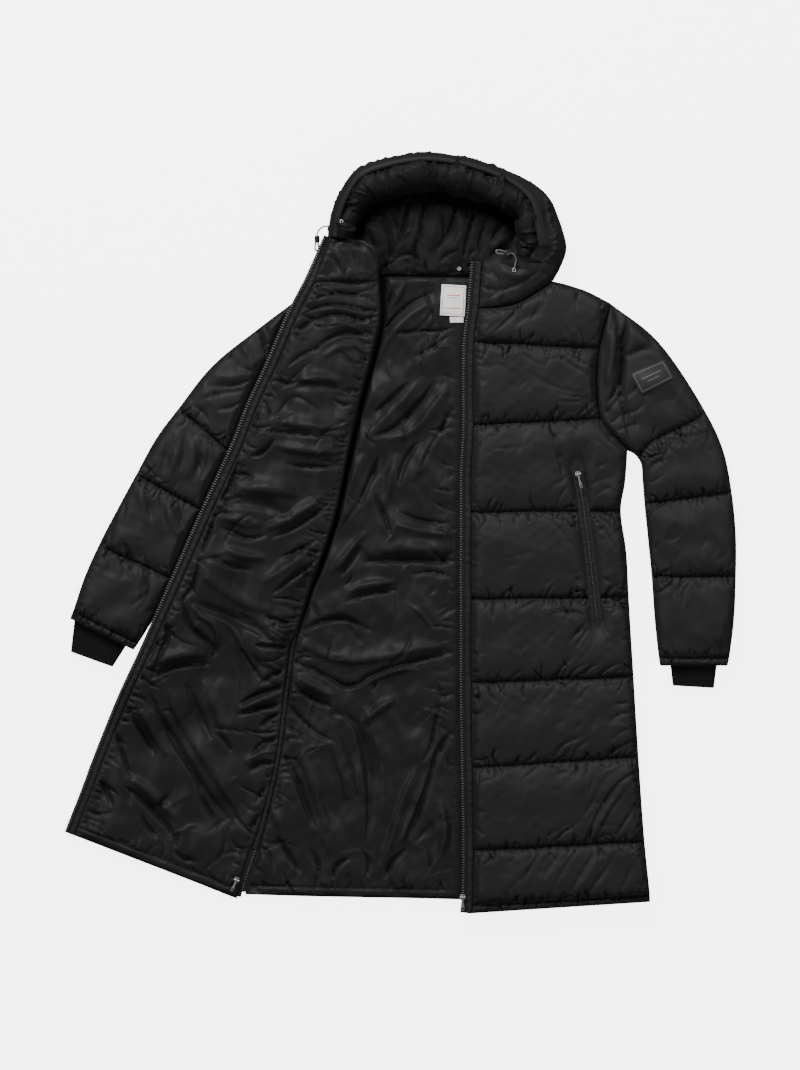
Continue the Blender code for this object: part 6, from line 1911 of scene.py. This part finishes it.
def makeLock(side):
    # Barrel lock with grip flutes and a mouth at each end, and the cord's loop.
    place, direction = lockPlaces[side]
    turn = math.radians(direction)
    along = np.array([math.cos(turn), math.sin(turn)])
    beside = np.array([-along[1], along[0]])
    low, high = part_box(f"cord_lock_{side}")
    level = (low.z + high.z) / 2 / mm
    look = lockLook
    half, size = look["length"] / 2, look["size"] / 2
    profile = [(1.2, -half + 1.2), (2.4, -half + 0.5), (2.9, -half), (3.6, -half + 0.3), (4.2, -half + 1.6),
               (4.5, -half + 2.8), (4.5, half - 2.8), (4.2, half - 1.6), (3.6, half - 0.3), (2.9, half),
               (2.4, half - 0.5), (1.2, half - 1.2)]
    profile = [(r * size / 4.5, z) for r, z in profile]
    shell = turned(profile, (*place, level), (*along, 0), count=48, flutes=look["flutes"], depth=0.06)
    capped(addPiece("cordLock" + side.capitalize(), [shell], acetal, sharp=40), "cord", f"cord_lock_{side}")
    face = np.array(place) + along * (half - 1.0)
    t = np.linspace(0, math.pi, 40)
    wide = np.cos(t) * (look["loopHalf"] + look["loopBelly"] * np.sin(t))
    flat = face + along * look["loopReach"] * np.sin(t)[:, None] + beside * wide[:, None]
    loop = np.column_stack([flat, np.full(len(t), level)])
    part, uv = tubeAlong(loop, cordSize / 2)
    made = addPiece("cordLoop" + side.capitalize(), [part], braidedCord, uv=uv)
    capped(made, "cord", f"cord_loop_{side}")
    return np.array(place) - along * (half - 1.0), level


startLeft, levelLeft = makeLock("left")
startRight, levelRight = makeLock("right")


def makeCordRun(side, route):
    path = byLength(route, np.linspace(0, 1, 40))
    part, uv = tubeAlong(path, cordSize / 2)
    made = addPiece("cordRun" + side.capitalize(), [part], braidedCord, uv=uv)
    capped(made, "cord", f"cord_run_{side}")


eyeTop = highOf("eyelet_left")
makeCordRun("left", [(*startLeft, levelLeft), (startLeft[0] + 4, startLeft[1] - 0.6, levelLeft),
                     (190, 453, levelLeft - 2), (189, 444, (levelLeft + eyeTop) / 2), (187, 436, eyeTop + 1),
                     (187, 434, eyeTop - 1.5)])
makeCordRun("right", [(*startRight, levelRight), (startRight[0], startRight[1] + 4, levelRight),
                      (-134, 503, levelRight + 2), (-128, 507, levelRight + 7), (-122, 508, levelRight + 9),
                      (-112, 508, levelRight + 9)])

# Zip sliders and pull tabs

sliderLook = {
    "width": 9.2, "length": 10.0, "base": 1.8,         # the body
    "lug": 4.0, "lugGap": 6.2, "lugHalf": 0.65,        # its two lugs
    "tabWidth": 5.0, "tabThin": 1.3, "eye": 1.4, "hole": 1.35, "ringHalf": 3.6, "eyeHalf": 2.6,
}
sliderPlaces = [
    # name, place, direction of the pull tab, its length
    ("front_zip", (102.5, -600), -88, 22.0),
    ("pocket_zip", (292.5, 98), -76, 24.0),
    ("vent_zip", (-271, -572), -114, 20.0),
]


def extruded(outline, half, bevel):
    # A flat outline of (a, b) given thickness along c, its rims bevelled: rings
    # of the outline, drawn in at the faces.
    outline = np.array(outline, float)
    middle = outline.mean(0)
    drawn = middle + (outline - middle) * (1 - bevel / np.abs(outline - middle).max())
    rings = [(drawn, -half), (outline, -half + bevel), (outline, half - bevel), (drawn, half)]
    points = np.concatenate([np.column_stack([ring, np.full(len(ring), c)]) for ring, c in rings])
    count = len(outline)
    return points, gridQuads(4, count, wrap=True), [np.arange(count), np.arange(count)[::-1] + 3 * count]


def holedPlate(outline, hole, half, bevel):
    # A flat plate with a hole: both outlines have as many points, matched.
    outline, hole = np.array(outline, float), np.array(hole, float)
    middle = outline.mean(0)
    drawn = middle + (outline - middle) * (1 - bevel / np.abs(outline - middle).max())
    rings = [(hole, -half), (drawn, -half), (outline, -half + bevel), (outline, half - bevel), (drawn, half),
             (hole, half)]
    points = np.concatenate([np.column_stack([ring, np.full(len(ring), c)]) for ring, c in rings])
    return points, gridQuads(6, len(outline), wrap=True, wrapRows=True), []


def placedShell(shell, axes, place):
    # A shell's own a, b and c carried to three directions at a place.
    points, quads, caps = shell
    return points @ np.array(axes, float) + np.array(place, float), quads, caps


def makeZipSlider(name, place, direction, tabLength):
    look = sliderLook
    turn = math.radians(direction)
    along = np.array([math.cos(turn), math.sin(turn), 0.0])
    beside = np.array([-along[1], along[0], 0.0])
    up = np.array([0.0, 0.0, 1.0])
    low = lowOf(f"{name}_slider")
    angle = np.linspace(0, math.tau, 28, endpoint=False)
    half = look["length"] / 2
    wide = look["width"] / 2 * (0.88 - 0.12 * np.cos(angle))
    body = np.column_stack([half * np.sign(np.cos(angle)) * np.abs(np.cos(angle)) ** 0.6,
                            wide * np.sign(np.sin(angle)) * np.abs(np.sin(angle)) ** 0.6])
    plate = placedShell(extruded(body, look["base"] / 2, 0.4), (along, beside, up),
                        (*place, low + look["base"] / 2))
    lugTop = look["base"] + look["lug"]
    arch = np.linspace(0, math.pi, 9)
    lug = [(-3.4, 0.6), (3.4, 0.6)] + [(3.0 * math.cos(a), lugTop - 2.4 + 2.4 * math.sin(a)) for a in arch]
    lugPlate = extruded([(a, b - lugTop / 2) for a, b in lug], look["lugHalf"], 0.25)
    lugAway = beside * (look["lugGap"] / 2 + look["lugHalf"])
    lugs = [placedShell(lugPlate, (along, up, beside), np.array([*place, low + lugTop / 2]) + side * lugAway)
            for side in (-1, 1)]
    parts = [plate, *lugs]
    capped(addPiece(name.replace("_zip", "Zip") + "Slider", parts, antiqueNickel, sharp=40), "zip_metal",
           f"{name}_slider")
    # Pull tab: a waisted plate with a ring of an end and a round eye on its hinge
    hinge = low + look["base"] + gap + 0.1 + look["eye"]
    count = 48
    centre = tabLength - look["ringHalf"]
    a = np.linspace(0, math.tau, count, endpoint=False)
    hole = np.column_stack([centre + 1.9 * np.cos(a), look["hole"] * np.sin(a)])
    reach = np.where(np.cos(a) > 0, look["ringHalf"], centre - 0.9)
    body = np.column_stack([centre + reach * np.sign(np.cos(a)) * np.abs(np.cos(a)) ** 0.75,
                            look["tabWidth"] / 2 * np.sign(np.sin(a)) * np.abs(np.sin(a)) ** 0.75])
    waist = 1 - 0.32 * np.exp(-((body[:, 0] - tabLength * 0.42) / 4.2) ** 2)
    body[:, 1] *= waist
    axes = (along, beside, up)
    tab = placedShell(holedPlate(body, hole, look["tabThin"] / 2, 0.25), axes, (*place, hinge))
    far = look["eyeHalf"]
    eye = turned([(0.3, -far), (1.15, -far), (look["eye"], 0.3 - far), (look["eye"], far - 0.3), (1.15, far),
                  (0.3, far)], (*place, hinge), beside, count=20)
    made = addPiece(name.replace("_zip", "Zip") + "Pull", [tab, eye], antiqueNickel, sharp=40)
    dress(made, name + "_tab", "zip_metal", f"{name}_pull")


for item in sliderPlaces:
    makeZipSlider(*item)

# Sewing

print("sewing")
stitch = {
    "pitch": 3.6, "layers": [(1.35, 0.28, -0.25, 0.0), (1.45, 0.42, 0.15, 0.0), (1.0, 0.26, 0.5, 0.0)],
    "placketShares": (0.27, 0.77), "pocketOffset": 7.5,
}


def onGrid(surface, rows, columns):
    # Points of a surface at fractional rows and columns.
    rows = np.clip(np.asarray(rows, float), 0, surface.shape[0] - 1.001)
    columns = np.clip(np.asarray(columns, float), 0, surface.shape[1] - 1.001)
    i, j = rows.astype(int), columns.astype(int)
    s, t = (rows - i)[:, None], (columns - j)[:, None]
    return (1 - s) * ((1 - t) * surface[i, j] + t * surface[i, j + 1]) \
        + s * ((1 - t) * surface[i + 1, j] + t * surface[i + 1, j + 1])


def seamLines(surface, along, seams):
    # Each quilting seam as a line on the panel, a little in from both sides.
    columns = np.arange(1, surface.shape[1] - 1)
    lines = []
    for seam in seams[1:-1]:
        nearest = np.argmin(np.abs(along[:, columns] - seam), axis=0)
        step = along[np.minimum(nearest + 1, len(along) - 1), columns] - along[nearest, columns] + 1e-6
        between = np.clip((seam - along[nearest, columns]) / step, -0.5, 0.5)
        lines.append(onGrid(surface, nearest + between, columns))
    return lines


def stitchRows(lines):
    return [blockRow(line, stitch["pitch"], stitch["layers"]) for line in lines]


sleeveSeams = [line for sleeve in (leftSleeve, rightSleeve) for line in seamLines(*sleeve)]
makeBlocks("quiltStitches", stitchRows(seamLines(frontSurface, frontAlong, frontSeams) + sleeveSeams),
           sewingThread, "cord")


def hemLine(surface, away):
    # A line this far up from the panel's last row.
    last = down(surface[..., :2])[1]
    columns = np.arange(2, surface.shape[1] - 2)
    rows = np.array([np.interp(-away, -last[:, k], np.arange(len(last))) for k in columns])
    return onGrid(surface, rows, columns)


hemLines = [hemLine(surface, hemBand) for surface in (frontSurface, openSurface, backSurface[:, :150])]
makeBlocks("hemStitches", stitchRows(hemLines), sewingThread, "cord")
placketLines = [surface[:, round(share * (surface.shape[1] - 1))] + np.array([0, 0, 0.1])
                for surface in (leftPlacket, rightPlacket) for share in stitch["placketShares"]]
makeBlocks("placketStitches", stitchRows(placketLines), sewingThread, "cord")
pocketStitch = [liftedLine(pocketCentre, side * stitch["pocketOffset"], 1, pocketLevel + 1.7)
                for side in (-1, 1)]
makeBlocks("pocketStitches", stitchRows(pocketStitch), sewingThread, "cord")
